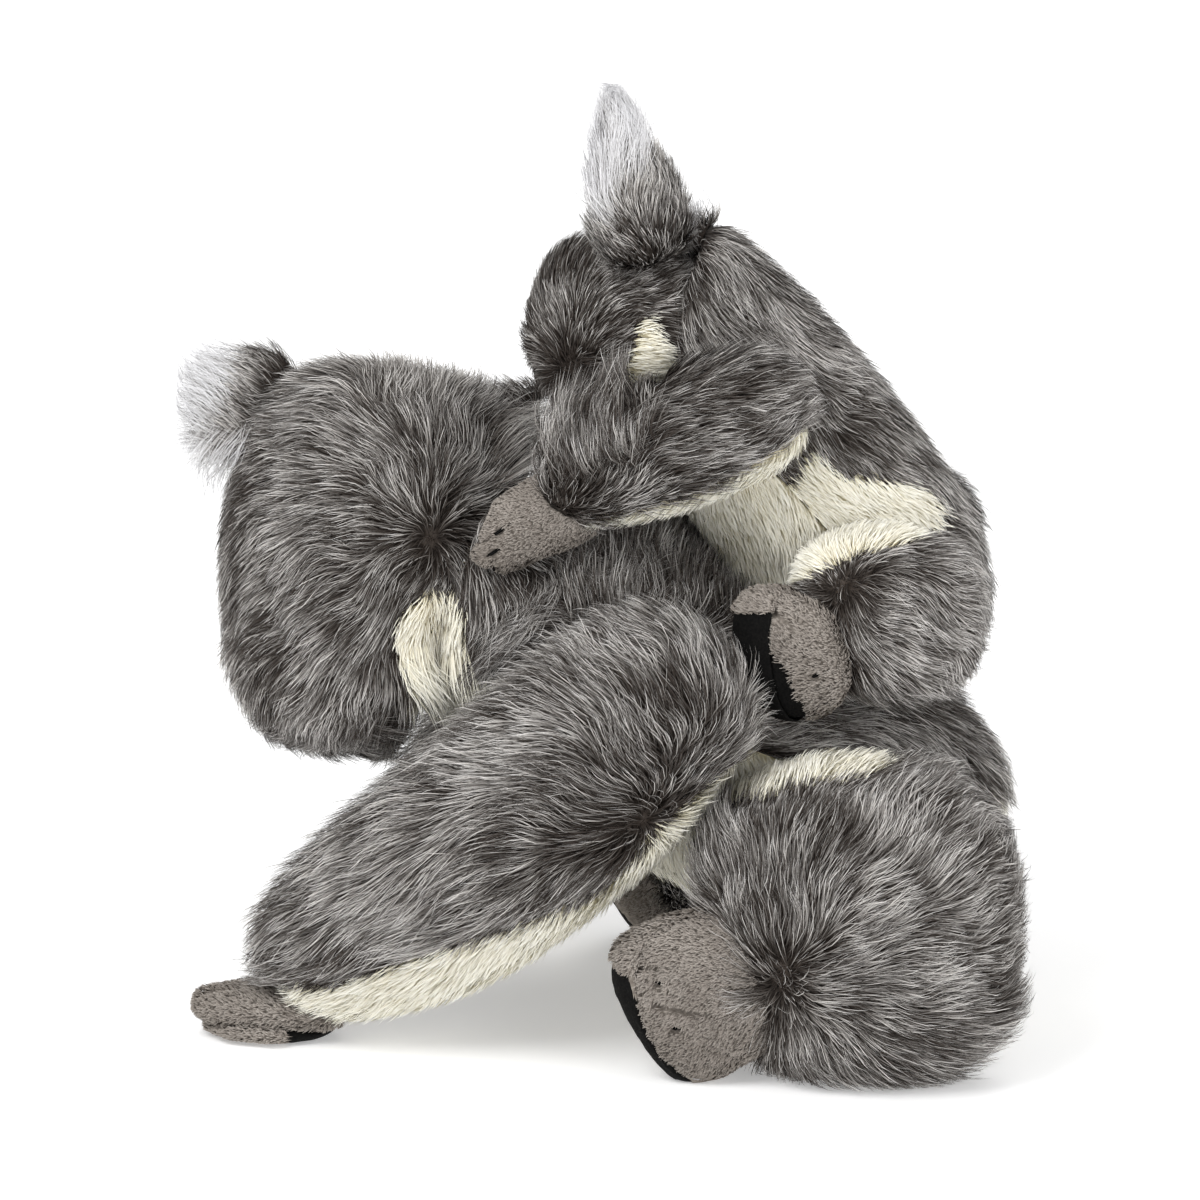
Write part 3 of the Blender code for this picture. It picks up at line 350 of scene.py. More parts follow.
def cream_places(node, places):
    across, up = on_view(node, places)
    cream = np.zeros(len(places), bool)
    for start, edge in CREAM_EDGES.items():
        if node.startswith(start):
            cream |= up < line_at(across, edge)
    for starts, outline, off_middle in CREAM_OUTLINES:
        if node.startswith(starts):
            cream |= in_outline(across, up, outline) & (np.abs(places[:, 1]) > off_middle)
    return cream


def clear_places(node, places):
    """Where no grey strand of this piece may hang over paler pile."""
    clear = cream_places(node, places)
    across, up = on_view(node, places)
    if node.startswith("mother_arm"):
        clear |= in_outline(across, up, MOTHER_BIB)
    if node.startswith("joey_arm"):
        clear |= in_outline(across, up, JOEY_BIB) | in_outline(across, up, JOEY_FLANK)
    return clear


def frost_places(node, places):
    """The pale fringe on the outer rim of the mother's ears and on the joey's tufts."""
    low, high = box_of(node)
    off = places - middle_of(node)
    if node.startswith("mother"):
        return off[:, 0] - RIM_SLOPE * off[:, 2] < RIM_START
    share = (places[:, 2] - low[2]) / (high[2] - low[2])
    return ((share > TUFT_TOP) & (off[:, 0] < TUFT_TOP_END)) | ((off[:, 0] < TUFT_FRONT_END) & (share > TUFT_FRONT))


def toe_places(node, places):
    """Where the short pile of a paw wraps over the suede under it."""
    across, up = on_view(node, places)
    if "palm" in node:
        return across < PALM_FRONT
    if node.startswith("joey"):
        return up > JOEY_TOE_HEIGHT
    return across > line_at(up, MOTHER_SOLE_EDGE)


def sole_places(node, places):
    """Where the suede of a sole shows on the joey's foot beside it."""
    across, up = on_view(node, places)
    return (across < line_at(up, JOEY_SOLE_EDGE)) & node.startswith("joey_foot")


def trim_shares(node, places):
    """How much of its length a strand keeps."""
    across, up = on_view(node, places)
    shares = np.ones(len(places))
    for start, outline, share in TRIMS:
        if node.startswith(start):
            shares[in_outline(across, up, outline)] *= share
    who = node.split("_")[0]
    if any(word in node for word in ("head", "chin", "muzzle")):
        for feature in ("_eye_left", "_eye_right", "_nose"):
            low, high = box_of(who + feature)
            gap = np.linalg.norm(places - 0.5 * (low + high), axis=1) - 0.5 * (high - low).max()
            shares = np.minimum(shares, np.clip(FACE_LEAST + gap / FACE_REACH[who], FACE_LEAST, 1))
    return shares


def picker(area, node, wanted=True, edge=RAGGED):
    """Which roots lie in an area, with a ragged edge, or which don't."""

    def pick(places, rng):
        ragged = places + rng.normal(0, edge, places.shape)
        return area(node, ragged) == wanted

    return pick


# ---- The CAD surfaces that everything is laid on

# The mother's toes: top, where they stop moving, front, and how far they draw back
TOE_TOP, TOE_BACK, TOE_FRONT, TOE_DRAW, TOE_BEND = 0.06, 0.062, 0.006, 0.014, 0.8
# How far the top of the joey's far arm sinks, from what height and over what
ARM_SINK, ARM_SINK_FROM, ARM_SINK_OVER = 0.01, 0.245, 0.03
# The joey's hand: its slope, half length and turn down, its ways along and up
HAND_SLOPE, HAND_HALF, HAND_TURN = math.radians(24.0), 0.028, math.radians(4.0)
HAND_ALONG = np.array((-math.cos(HAND_SLOPE), 0.0, -math.sin(HAND_SLOPE)))
HAND_UP = np.array((-math.sin(HAND_SLOPE), 0.0, math.cos(HAND_SLOPE)))
# How it spreads below and, as a share, above; how far and how wide its end comes forward
HAND_SPREAD, SPREAD_ABOVE, HAND_BLUNT, BLUNT_HALF = 0.45, 0.25, 0.003, 0.6 * HAND_HALF
# How near its corners a face is tried for open air, and how much they bend its normal
CORNERWARD, NORMAL_BEND = 0.8, 0.85


def eased(node, places):
    """Toes of the mother's feet draw back to the floor, the joey's fingers end blunt, its far arm lies flatter."""
    kind = node.rsplit("_", 1)[0]
    if node.endswith("right") and node.startswith(("joey_arm", "joey_underarm")):
        moved = places.copy()
        moved[:, 2] -= ARM_SINK * np.clip((places[:, 2] - ARM_SINK_FROM) / ARM_SINK_OVER, 0, 1)
        return moved
    if kind == "joey_hand":
        return blunt_fingers(node, places)
    if kind not in ("mother_foot", "mother_sole"):
        return places
    spots = as_left(node, places)
    low_share = np.clip((TOE_TOP - spots[:, 2]) / TOE_TOP, 0, 1)
    front_share = np.clip((TOE_BACK - spots[:, 0]) / (TOE_BACK - TOE_FRONT), 0, 1)
    moved = places.copy()
    moved[:, 0] += TOE_DRAW * low_share**TOE_BEND * front_share
    return moved


def blunt_fingers(node, places):
    """The front of the joey's hand spreads and ends blunt, and the hand turns down about its wrist end."""
    off = places - middle_of(node)
    run, rise = off @ HAND_ALONG, off @ HAND_UP
    front = np.clip(run / HAND_HALF, 0, 1)
    rise = rise * (1 + HAND_SPREAD * front * front * np.where(rise < 0, 1.0, SPREAD_ABOVE))
    run = run + HAND_BLUNT * front**3 * np.clip(1 - np.abs(rise) / BLUNT_HALF, 0, 1)
    far = run + HAND_HALF
    new_run = far * math.cos(HAND_TURN) + rise * math.sin(HAND_TURN) - HAND_HALF
    new_rise = -far * math.sin(HAND_TURN) + rise * math.cos(HAND_TURN)
    shift = (new_run - off @ HAND_ALONG)[:, None] * HAND_ALONG + (new_rise - off @ HAND_UP)[:, None] * HAND_UP
    return places + shift


def all_solids():
    corners, faces = [], []
    for name in sorted(NODES):
        mesh = NODES[name].data
        start = len(corners)
        corners += [v.co.copy() for v in mesh.vertices]
        faces += [[start + i for i in p.vertices] for p in mesh.polygons]
    return BVHTree.FromPolygons(corners, faces)


def free_distances(places, normals):
    """How far it is from each place, along its normal, to the next solid."""
    found = []
    for place, normal in zip(places, normals):
        way = Vector(normal)
        hit = SOLIDS.ray_cast(Vector(place) + way * RAY_START, way, FREE_REACH)
        found.append(FREE_REACH if hit[0] is None else hit[3])
    return np.array(found)


class Surface:
    """The faces of one node that look into open air, with normals that run smoothly over them."""

    def __init__(self, name):
        mesh = NODES[name].data
        mesh.calc_loop_triangles()
        self.corners = np.array([v.co for v in mesh.vertices], float)
        faces = np.array([t.vertices for t in mesh.loop_triangles], int)
        a, b, c = (self.corners[faces[:, k]] for k in range(3))
        cross = np.cross(b - a, c - a)
        area, flat, centre = 0.5 * np.linalg.norm(cross, axis=1), unit(cross), (a + b + c) / 3
        clear = np.zeros(len(faces))
        for toward in (centre, a, b, c):
            clear = np.maximum(clear, free_distances(mixed(centre, toward, CORNERWARD), flat))
        keep = clear > OPEN_GAP
        where = {}
        label = np.array([where.setdefault(tuple(np.round(p, 5)), len(where)) for p in self.corners])
        sums = np.zeros((len(where), 3))
        for k in range(3):
            np.add.at(sums, label[faces[keep, k]], cross[keep])
        self.faces, self.areas, self.flats, self.smooth = faces[keep], area[keep], flat[keep], unit(sums[label])

    def scatter(self, rng, per_area):
        """Random places and the normals there."""
        if not len(self.faces):
            return np.zeros((0, 3)), np.zeros((0, 3))
        count = int(round(self.areas.sum() * per_area))
        face = rng.choice(len(self.faces), size=count, p=self.areas / self.areas.sum())
        u, v = rng.random((2, count))
        over = u + v > 1
        u[over], v[over] = 1 - u[over], 1 - v[over]
        w = np.stack((1 - u - v, u, v), 1)[:, :, None]
        corner = self.faces[face]
        places = (self.corners[corner] * w).sum(1)
        normals = unit(mixed(self.flats[face], (self.smooth[corner] * w).sum(1), NORMAL_BEND))
        return places, normals


SOLIDS = all_solids()
SURFACES = {name: Surface(name) for name in sorted(NODES)}


# ---- How the pile is combed: the way it lies, and whorls that it runs out of, each with its reach and strength

COMBS = {
    "mother_head": (
        (-0.1, 0.0, -0.4),
        (((-0.058, -0.05, 0.212), 0.085, 1.6), ((-0.107, 0.058, 0.15), 0.055, 1.8), ((-0.1, 0.005, 0.262), 0.03, 0.4)),
    ),
    "mother_back": (
        (0.35, 0.0, -0.35),
        (((0.03, -0.05, 0.12), 0.07, 2.4), ((0.03, 0.05, 0.12), 0.07, 2.4), ((-0.045, 0.0, 0.215), 0.05, 1.0)),
    ),
    "mother_belly": ((0.3, 0.0, -0.6), ()),
    "mother_arm": ((-0.75, 0.0, -0.5), (((0.026, -0.099, 0.105), 0.088, 2.6),)),
    "mother_underarm": ((-0.75, 0.0, -0.5), ()),
    "mother_leg": ((0.2, 0.0, 0.1), (((0.085, -0.113, 0.052), 0.11, 2.2),)),
    "mother_ear": ((-0.75, 0.0, 0.25), ()),
    "mother_hand": ((-1.0, 0.0, -0.1), ()),
    "mother_foot": ((-0.9, 0.0, -0.3), ()),
    "mother_nape": ((1.0, 0.0, 0.35), ()),
    "mother_saddle": ((0.2, 0.0, 1.0), ()),
    "mother_jowl": ((1.0, 0.0, -0.25), ()),
    "mother_hem": ((0.1, 0.0, -1.0), ()),
    "mother_skirt": ((-0.3, 0.0, -1.0), ()),
    "joey_head": (
        (0.15, 0.0, -0.1),
        (((-0.013, -0.027, 0.275), 0.034, 2.0), ((-0.033, 0.022, 0.272), 0.028, 1.6)),
    ),
    "joey_back": ((0.6, 0.0, -0.55), (((0.03, 0.0, 0.335), 0.05, 1.0),)),
    "joey_belly": ((0.3, 0.0, -0.6), ()),
    "joey_arm": ((0.55, 0.0, 0.22), (((-0.014, -0.06, 0.214), 0.055, 2.0),)),
    "joey_underarm": ((-0.8, 0.0, -0.5), ()),
    "joey_leg": ((0.45, 0.0, -0.35), (((0.104, -0.068, 0.202), 0.04, 2.2),)),
    "joey_ear": ((-0.25, 0.0, 1.0), ()),
    "joey_hand": ((-1.0, 0.0, -0.2), ()),
    "joey_foot": ((-0.8, 0.0, 0.3), ()),
    "joey_cuff": ((-0.12, 0.0, 1.0), ()),
}
WHORL_CORE = 0.002
# Wide and fine swirls in the comb: fields, and how far they turn it
SWIRLS = (
    ([smooth_field(100 + k, 0.034) for k in range(3)], 0.2),
    ([smooth_field(200 + k, 0.013) for k in range(3)], 0.12),
)
# Strong whorls show a dark eye: from what strength, its size by reach and alone, how dark
EYE_FROM, EYE_BY_REACH, EYE_SIZE, EYE_DARK = 1.2, 0.1, 0.006, 0.3

# Rings along a strand, and its width at each
RINGS = (0.0, 0.28, 0.56, 0.82, 1.0)
TAPER = (1.0, 1.0, 0.85, 0.6, 0.0)
# How far apart guides stand, and the fewest guides and strands of a piece
GUIDE_SPACING, LEAST_GUIDES, LEAST_STRANDS = 0.0055, 6, 20
# Neighbours are found as if they stood this far off the skin
FACING_REACH = 0.012
# The share of free air that a guide stands in, its rise at the root and how it falls
AIR_SHARE, RISE_ROOT, RISE_FALL = 0.55, 2.0, 1.7
STEEP_RANGE, RISE_RANGE = (0.05, 0.95), (0.02, 0.97)
# How far a guide keeps off solids, at least and by height, and how fast it follows them
KEEP_OFF, KEEP_UP, FOLLOW = 0.0006, 0.3, 0.35
# How strands differ in length and rise, and their waves' size and turns
LENGTHS, RISES, WAVE, WAVE_TURNS = (0.66, 1.12), 0.08, 0.01, 5.0
# Tufts per strand, how strands lean to their tuft, and its share of the tone's spread
TUFT_SHARE, TUFT_SHARE_QUICK, TUFT_LEAN, TUFT_CURVE, TUFT_TONE = 0.035, 0.3, (0.3, 1.0), 1.4, 0.75
# A deeper crease bares the skin; grey strands over cream keep this share of their length
BARE_GROOVE, OVERHANG = 0.0009, 0.42
# Patches of tone: size, seed and wavelength
MOTTLES = ((0.09, 7, 0.04), (0.07, 8, 0.015))
# The share of pale guard strands in a grey coat, and how much paler they are, in spreads
GUARD_SHARE, GUARD_LIFT = 0.32, 1.7
# Dark strands stay dark: a tone is lifted and raised to this power
TONE_LIFT, TONE_CURVE = 0.06, 1.9
# How much paler the mother's crown is, from what height, and over what
CROWN_PALE, CROWN_FROM, CROWN_OVER = 0.13, 0.215, 0.025
# Ears grow paler outward (mother), upward and forward (joey): how much, and from which share
EAR_OUT, EAR_OUT_FROM = 0.9, 0.55
TUFT_UP, TUFT_UP_FROM, TUFT_BACK, TUFT_BACK_FROM = 0.75, 0.22, 0.25, 0.4
# Columns of tones in the map, and the part of a column and of its height that a strand takes
TONES, TOP_TONE, COLUMN, MAP_FROM, MAP_OVER = 64, 0.999, (0.15, 0.85), 0.02, 0.96
# How far strands are lit like the skin, how that varies, and how far they roll
NORMAL_SHARES, NORMAL_SCATTER, ROLL = {"grey": 0.55, "cream": 0.8, "frost": 0.7, "paw": 0.8}, 0.1, 0.9
# How widths differ, and how many strands one piece of pile may hold
WIDTHS, MOST_STRANDS = (0.7, 1.3), 28000

# In metres, strands per square millimetre, and tones from 0 to 1
Look = namedtuple("Look", "length height dense width tone spread clump turn")


def comb(node, region, places, normals):
    """The way the pile runs at each place, along the surface."""
    lie, whorls = COMBS[region]
    spots = as_left(node, places)
    flow = np.tile(np.array(lie, float), (len(places), 1))
    for centre, reach, strength in whorls:
        away = spots - np.array(centre)
        gap = np.linalg.norm(away, axis=1, keepdims=True)
        flow = flow + strength * np.exp(-((gap / reach) ** 2)) * away / (gap + WHORL_CORE)
    size = np.linalg.norm(flow, axis=1, keepdims=True)
    for fields, strength in SWIRLS:
        flow = flow + strength * size * np.stack([f(spots) for f in fields], 1)
    if node.endswith("_right"):
        flow = flow * FLIP
    flow = flow - (flow * normals).sum(1, keepdims=True) * normals
    return unit(flow)


def whorl_shade(node, region, places):
    """How near each place is to the eye of a whorl, where the pile parts and shows darker."""
    spots = as_left(node, places)
    total = np.zeros(len(places))
    for centre, reach, strength in COMBS[region][1]:
        if strength > EYE_FROM:
            gap = np.linalg.norm(spots - np.array(centre), axis=1)
            total += np.exp(-((gap / (EYE_BY_REACH * reach + EYE_SIZE)) ** 2))
    return total


def ear_shade(node, places):
    """The grey of an ear runs from dark at its root to light at its outer rim."""
    if "ear" not in node:
        return 0.0
    low, high = box_of(node)
    share = (places - low) / (high - low)
    if node.startswith("mother"):
        return EAR_OUT * (EAR_OUT_FROM - share[:, 0])
    return TUFT_UP * (share[:, 2] - TUFT_UP_FROM) - TUFT_BACK * (share[:, 0] - TUFT_BACK_FROM)


def finder_of(places, normals):
    finder = KDTree(len(places))
    for i, spot in enumerate(places + FACING_REACH * normals):
        finder.insert(Vector(spot), i)
    finder.balance()
    return finder


def grow_guides(node, places, normals, region, look):
    """Guide strands that leave the skin steeply, lean over and follow it, clear of every solid."""
    path = np.zeros((len(places), len(RINGS), 3))
    path[:, 0] = places
    spot, up = places.copy(), normals.copy()
    stand = np.minimum(look.height, AIR_SHARE * free_distances(places, normals))
    steep = np.clip(stand / look.length, *STEEP_RANGE)
    for k in range(1, len(RINGS)):
        share = 0.5 * (RINGS[k] + RINGS[k - 1])
        way = comb(node, region, spot, up)
        rise = np.clip(steep * (RISE_ROOT - RISE_FALL * share), *RISE_RANGE)[:, None]
        step = way * np.sqrt(1 - rise * rise) + up * rise
        spot = spot + step * (look.length * (RINGS[k] - RINGS[k - 1]))
        for i, least in enumerate(KEEP_OFF + KEEP_UP * stand * share):
            near, normal, _, _ = SOLIDS.find_nearest(Vector(spot[i]))
            height = (Vector(spot[i]) - near).dot(normal)
            if height < least:
                spot[i] += np.array(normal) * (least - height)
            up[i] = mixed(up[i], np.array(normal), FOLLOW)
        up = unit(up)
        path[:, k] = spot
    return path


def between_guides(guides, guide_places, guide_normals, roots, normals):
    """Each strand's way from its root, blended from the three nearest guides."""
    finder = finder_of(guide_places, guide_normals)
    offsets = guides - guides[:, :1]
    weights = np.zeros((len(roots), 3))
    chosen = np.zeros((len(roots), 3), int)
    for i, spot in enumerate(roots + FACING_REACH * normals):
        for k, (_, index, gap) in enumerate(finder.find_n(Vector(spot), 3)):
            chosen[i, k] = index
            weights[i, k] = 1 / (gap + 0.001)
    weights /= weights.sum(1, keepdims=True)
    strands = np.zeros((len(roots), len(RINGS), 3))
    for k in range(3):
        strands += offsets[chosen[:, k]] * weights[:, k, None, None]
    return strands


def loosened(strands, normals, look, rng):
    """Each strand with its own length, turn, rise and wave."""
    each = (len(strands), 1, 1)
    rings = np.array(RINGS)[None, :, None]
    strands = strands * rng.uniform(*LENGTHS, each)
    across = unit(np.cross(normals, unit(strands[:, -1])))[:, None]
    strands = strands + across * rng.normal(0, look.turn, each) * look.length * rings
    strands = strands + normals[:, None] * rng.normal(0, RISES, each) * look.length * rings
    phase = rng.uniform(0, 2 * math.pi, each)
    return strands + across * WAVE * look.length * np.sin(phase + WAVE_TURNS * rings) * rings


def gathered(strands, roots, normals, look, rng):
    """The strands' points, leaning to their tuft's own strand, and the tone they share in a tuft."""
    count = len(roots)
    tufts = max(4, int(count * TUFT_SHARE / max(SHARE_OF_STRANDS, TUFT_SHARE_QUICK)))
    leaders = rng.choice(count, tufts, replace=False)
    finder = finder_of(roots[leaders], normals[leaders])
    tuft = np.array([finder.find(Vector(spot))[1] for spot in roots + FACING_REACH * normals])
    own = leaders[tuft]
    pull = look.clump * rng.uniform(*TUFT_LEAN, (count, 1, 1)) * np.array(RINGS)[None, :, None] ** TUFT_CURVE
    points = mixed(strands + roots[:, None], strands[own] + roots[own][:, None], pull)
    return points, rng.normal(0, TUFT_TONE * look.spread, tufts)[tuft]


def inside_room(points):
    """Keeps the pile over the floor and within the room round the CAD model."""
    points = points.copy()
    heights = points[:, :, 2]
    squeezed = LOWEST + (FLOOR_DEPTH - LOWEST) * np.exp((heights - FLOOR_DEPTH) / FLOOR_DEPTH)
    points[:, :, 2] = np.where(heights < FLOOR_DEPTH, squeezed, heights)
    return np.clip(points, LOW, HIGH)


def tones_of(node, region, kind, look, roots, by_tuft, rng):
    """Each strand's tone, from 0 to 1."""
    mottle = sum(size * smooth_field(seed, wave)(roots) for size, seed, wave in MOTTLES)
    tones = look.tone + mottle + by_tuft + rng.normal(0, look.spread, len(roots))
    if kind == "grey":
        pale = rng.random(len(roots)) < GUARD_SHARE
        tones = tones + GUARD_LIFT * look.spread * np.where(pale, 1.0, -GUARD_SHARE / (1 - GUARD_SHARE))
        tones = tones - EYE_DARK * whorl_shade(node, region, roots) + ear_shade(node, roots)
        if node.startswith("mother_head"):
            tones = tones + CROWN_PALE * np.clip((roots[:, 2] - CROWN_FROM) / CROWN_OVER, 0, 1)
        tones = np.clip(tones + TONE_LIFT, 0, 1) ** TONE_CURVE
    return np.clip(tones, 0, TOP_TONE)


def grow_pile(name, node, region, kind, look, picked=None, relief=None):
    """The pile of one kind on one node, in one or more pieces."""
    rng = np.random.default_rng(sum(ord(letter) * (k + 1) for k, letter in enumerate(name)))
    surface = SURFACES[node]
    guide_places, guide_normals = surface.scatter(rng, 1 / GUIDE_SPACING**2)
    if len(guide_places) < LEAST_GUIDES:
        return
    guides = grow_guides(node, guide_places, guide_normals, region, look)
    roots, normals = surface.scatter(rng, look.dense * 1e6 * SHARE_OF_STRANDS)
    if picked is not None:
        keep = picked(roots, rng)
        roots, normals = roots[keep], normals[keep]
    keep = free_distances(roots, normals) > OPEN_GAP
    if relief is not None:
        sunk = relief(roots, normals)
        keep &= sunk > -BARE_GROOVE
        roots = roots + normals * sunk[:, None]
    roots, normals = roots[keep], normals[keep]
    count = len(roots)
    if count < LEAST_STRANDS:
        return
    strands = between_guides(guides, guide_places, guide_normals, roots, normals)
    strands = loosened(strands, normals, look, rng)
    points, by_tuft = gathered(strands, roots, normals, look, rng)
    points = mixed(roots[:, None], points, trim_shares(node, roots)[:, None, None])
    points = inside_room(eased(node, points.reshape(-1, 3)).reshape(points.shape))
    if kind == "grey":
        over = clear_places(node, points[:, 4]) | clear_places(node, points[:, 2])
        points[over] = mixed(roots[over][:, None], points[over], OVERHANG)
    tones = tones_of(node, region, kind, look, roots, by_tuft, rng)
    widths = look.width * rng.uniform(*WIDTHS, count)
    parts = max(1, math.ceil(count / MOST_STRANDS))
    for k in range(parts):
        part_name = name + ("_%d" % (k + 1) if k else "")
        part = [rows[k::parts] for rows in (points, normals, widths, tones)]
        piece = make_ribbons(part_name, *part, NORMAL_SHARES[kind], rng)
        piece.data.materials.append(PILES[kind])
        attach(piece, body_of(NODES[node])[0])


def make_ribbons(name, points, normals, widths, tones, upright, rng):
    """A mesh of flat strands that taper to a point, each mapped into its tone's column."""
    count, rings = points.shape[:2]
    tangent = np.zeros_like(points)
    tangent[:, 1:-1] = points[:, 2:] - points[:, :-2]
    tangent[:, 0] = points[:, 1] - points[:, 0]
    tangent[:, -1] = points[:, -1] - points[:, -2]
    tangent = unit(tangent)
    side = unit(np.cross(tangent, normals[:, None]))
    roll = rng.uniform(-ROLL, ROLL, (count, 1, 1))
    side = side * np.cos(roll) + unit(np.cross(side, tangent)) * np.sin(roll)
    over = unit(np.cross(side, tangent))
    half = 0.5 * widths[:, None, None] * np.array(TAPER)[None, :, None]
    each = 2 * rings - 1
    verts = np.zeros((count, each, 3))
    verts[:, 0 : each - 1 : 2] = (points - side * half)[:, :-1]
    verts[:, 1 : each - 1 : 2] = (points + side * half)[:, :-1]
    verts[:, -1] = points[:, -1]
    scatter = NORMAL_SCATTER * rng.normal(0, 1, (count, 1, 3))
    shown = unit(upright * normals[:, None] + (1 - upright) * over + scatter)
    vert_normals = np.repeat(shown, 2, axis=1)[:, :each]
    # Quads along the strand and a triangle at its tip
    corner = [2 * k + step for k in range(rings - 2) for step in (0, 1, 3, 2)] + [each - 3, each - 2, each - 1]
    base = np.arange(count)[:, None]
    loops = (base * each + np.array(corner)[None]).ravel()
    face_starts = (base * len(corner) + 4 * np.arange(rings - 1)[None]).ravel()
    mesh = bpy.data.meshes.new(name)
    mesh.vertices.add(count * each)
    mesh.vertices.foreach_set("co", verts.ravel().astype(np.float32))
    mesh.loops.add(len(loops))
    mesh.loops.foreach_set("vertex_index", loops.astype(np.int32))
    mesh.polygons.add(len(face_starts))
    mesh.polygons.foreach_set("loop_start", face_starts.astype(np.int32))
    column = np.floor(tones * TONES)
    left, right = ((column + part) / TONES for part in COLUMN)
    u_of = np.zeros((count, each))
    u_of[:, 0::2] = left[:, None]
    u_of[:, 1::2] = right[:, None]
    u_of[:, -1] = 0.5 * (left + right)
    v_of = np.repeat(np.repeat(np.array(RINGS)[None], 2, axis=1)[:, :each] * MAP_OVER + MAP_FROM, count, axis=0)
    layer = mesh.uv_layers.new(name=MAP)
    pairs = np.stack((u_of.ravel()[loops], v_of.ravel()[loops]), 1)
    layer.data.foreach_set("uv", pairs.ravel().astype(np.float32))
    mesh.update(calc_edges=True)
    mesh.validate()
    mesh.normals_split_custom_set_from_vertices(vert_normals.reshape(-1, 3).tolist())
    return add_object(name, mesh)


# ---- Skins, fillings, soles, eyes and noses

# How far a skin lies under its CAD form, and its puckers: their depth, seed and wavelength
INSET, PUCKER, PUCKER_SEED, PUCKER_WAVE = 0.00025, 0.00015, 31, 0.009
SAME_PLACE = 0.00002
# Skins that show a second material in an area of theirs
SECOND_BACKINGS = {"grey": ("cream", cream_places), "paw": ("suede", sole_places), "suede": ("paw", toe_places)}
# Creases between toes and fingers, on left-hand paws: where each starts, its way inward, its reach and depth
PAW_CREASES = {
    "mother_hand": (
        ((-0.16, -0.062, 0.0), (1.0, 0.0, 0.0), 0.024, 0.0032),
        ((-0.16, -0.05, 0.0), (1.0, 0.0, 0.0), 0.024, 0.0032),
    ),
    "mother_foot": (
        ((0.016, 0.0, 0.049), (0.992, 0.0, 0.128), 0.026, 0.0028),
        ((0.026, 0.0, 0.0358), (0.996, 0.0, -0.091), 0.044, 0.0026),
    ),
    "joey_hand": (
        ((-0.0545, 0.0, 0.2095), (0.914, 0.0, 0.407), 0.02, 0.002),
        ((-0.0505, 0.0, 0.201), (0.914, 0.0, 0.407), 0.02, 0.002),
    ),
    "joey_foot": (((0.07, 0.0, 0.195), (0.841, 0.0, -0.541), 0.026, 0.0028),),
}
CREASE_WIDTH = 0.0016
# Stitched claws on left-hand paws: place across and up, slant, and length
CLAWS = {
    "mother_foot": (
        ((0.023, 0.0595), 0.5, 0.0046),
        ((0.0334, 0.0445), -0.2, 0.0052),
        ((0.0399, 0.0259), -0.05, 0.0054),
    ),
    "joey_foot": (((0.0924, 0.1675), 0.45, 0.005),),
    "joey_hand": (((-0.0385, 0.215), 0.6, 0.012), ((-0.041, 0.2055), 0.56, 0.009)),
}
CLAW_DIMPLE, CLAW_REACH = 0.0018, 0.0024
# A claw's thread: sides, rings, radius, its fall to the ends, its arch and its seat
THREAD_SIDES, THREAD_RINGS, THREAD, THREAD_FALL, THREAD_ARCH, THREAD_SEAT = 7, 9, 0.0007, 0.55, 0.001, 0.0003
# Nostrils: radius by the nose's size, place forward, aside and down, and depth
NOSTRIL, NOSTRIL_FORWARD, NOSTRIL_ASIDE, NOSTRIL_DOWN, NOSTRIL_DEPTH = 0.16, 0.3, 1.5, 0.22, 0.35


def smooth_copy(node, name, level):
    """A subdivided closed copy of a node's form in its place."""
    mesh = NODES[node].data.copy()
    mesh.name = name
    mesh.materials.clear()
    piece = add_object(name, mesh)
    work = bmesh.new()
    work.from_mesh(mesh)
    bmesh.ops.remove_doubles(work, verts=work.verts, dist=SAME_PLACE)
    work.to_mesh(mesh)
    work.free()
    smooth = piece.modifiers.new("smooth", "SUBSURF")
    smooth.levels = smooth.render_levels = level
    bpy.context.view_layer.update()
    made = bpy.data.meshes.new_from_object(piece.evaluated_get(bpy.context.evaluated_depsgraph_get()))
    piece.modifiers.clear()
    piece.data = made
    made.name = name
    made.materials.clear()
    return piece


def dress(node, kind, level=2, sculpt=None, suffix="_skin"):
    """The visible form of a node, with small puckers and perhaps a sculpted relief."""
    piece = smooth_copy(node, node + suffix, level)
    made = piece.data
    co = np.zeros(len(made.vertices) * 3, np.float32)
    made.vertices.foreach_get("co", co)
    co = co.reshape(-1, 3).astype(float)
    normals = np.array([v.normal for v in made.vertices], float)
    offset = -INSET - PUCKER * np.abs(smooth_field(PUCKER_SEED, PUCKER_WAVE)(co))
    if sculpt is not None:
        offset = offset + sculpt(co, normals)
    co = eased(node, co + normals * offset[:, None])
    co[:, 2] = np.maximum(co[:, 2], 0.0)
    made.vertices.foreach_set("co", co.ravel().astype(np.float32))
    for face in made.polygons:
        face.use_smooth = True
    made.update()
    made.materials.append(BACKINGS[kind])
    if kind in SECOND_BACKINGS:
        other, area = SECOND_BACKINGS[kind]
        chosen = area(node, np.array([face.center for face in made.polygons], float))
        if chosen.any():
            made.materials.append(BACKINGS[other])
            made.polygons.foreach_set("material_index", chosen.astype(np.int32))
    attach(piece, body_of(NODES[node])[0])
    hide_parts(node)
    return piece


def groove(places, origin, along, across, reach, depth):
    """A crease that starts at a place, runs along a direction and fades out."""
    off = places - np.array(origin)
    run = off @ np.array(along)
    gap = off @ np.array(across)
    fade = np.clip((reach - run) / reach, 0, 1) * (run > 0)
    return -depth * np.exp(-((gap / CREASE_WIDTH) ** 2)) * fade


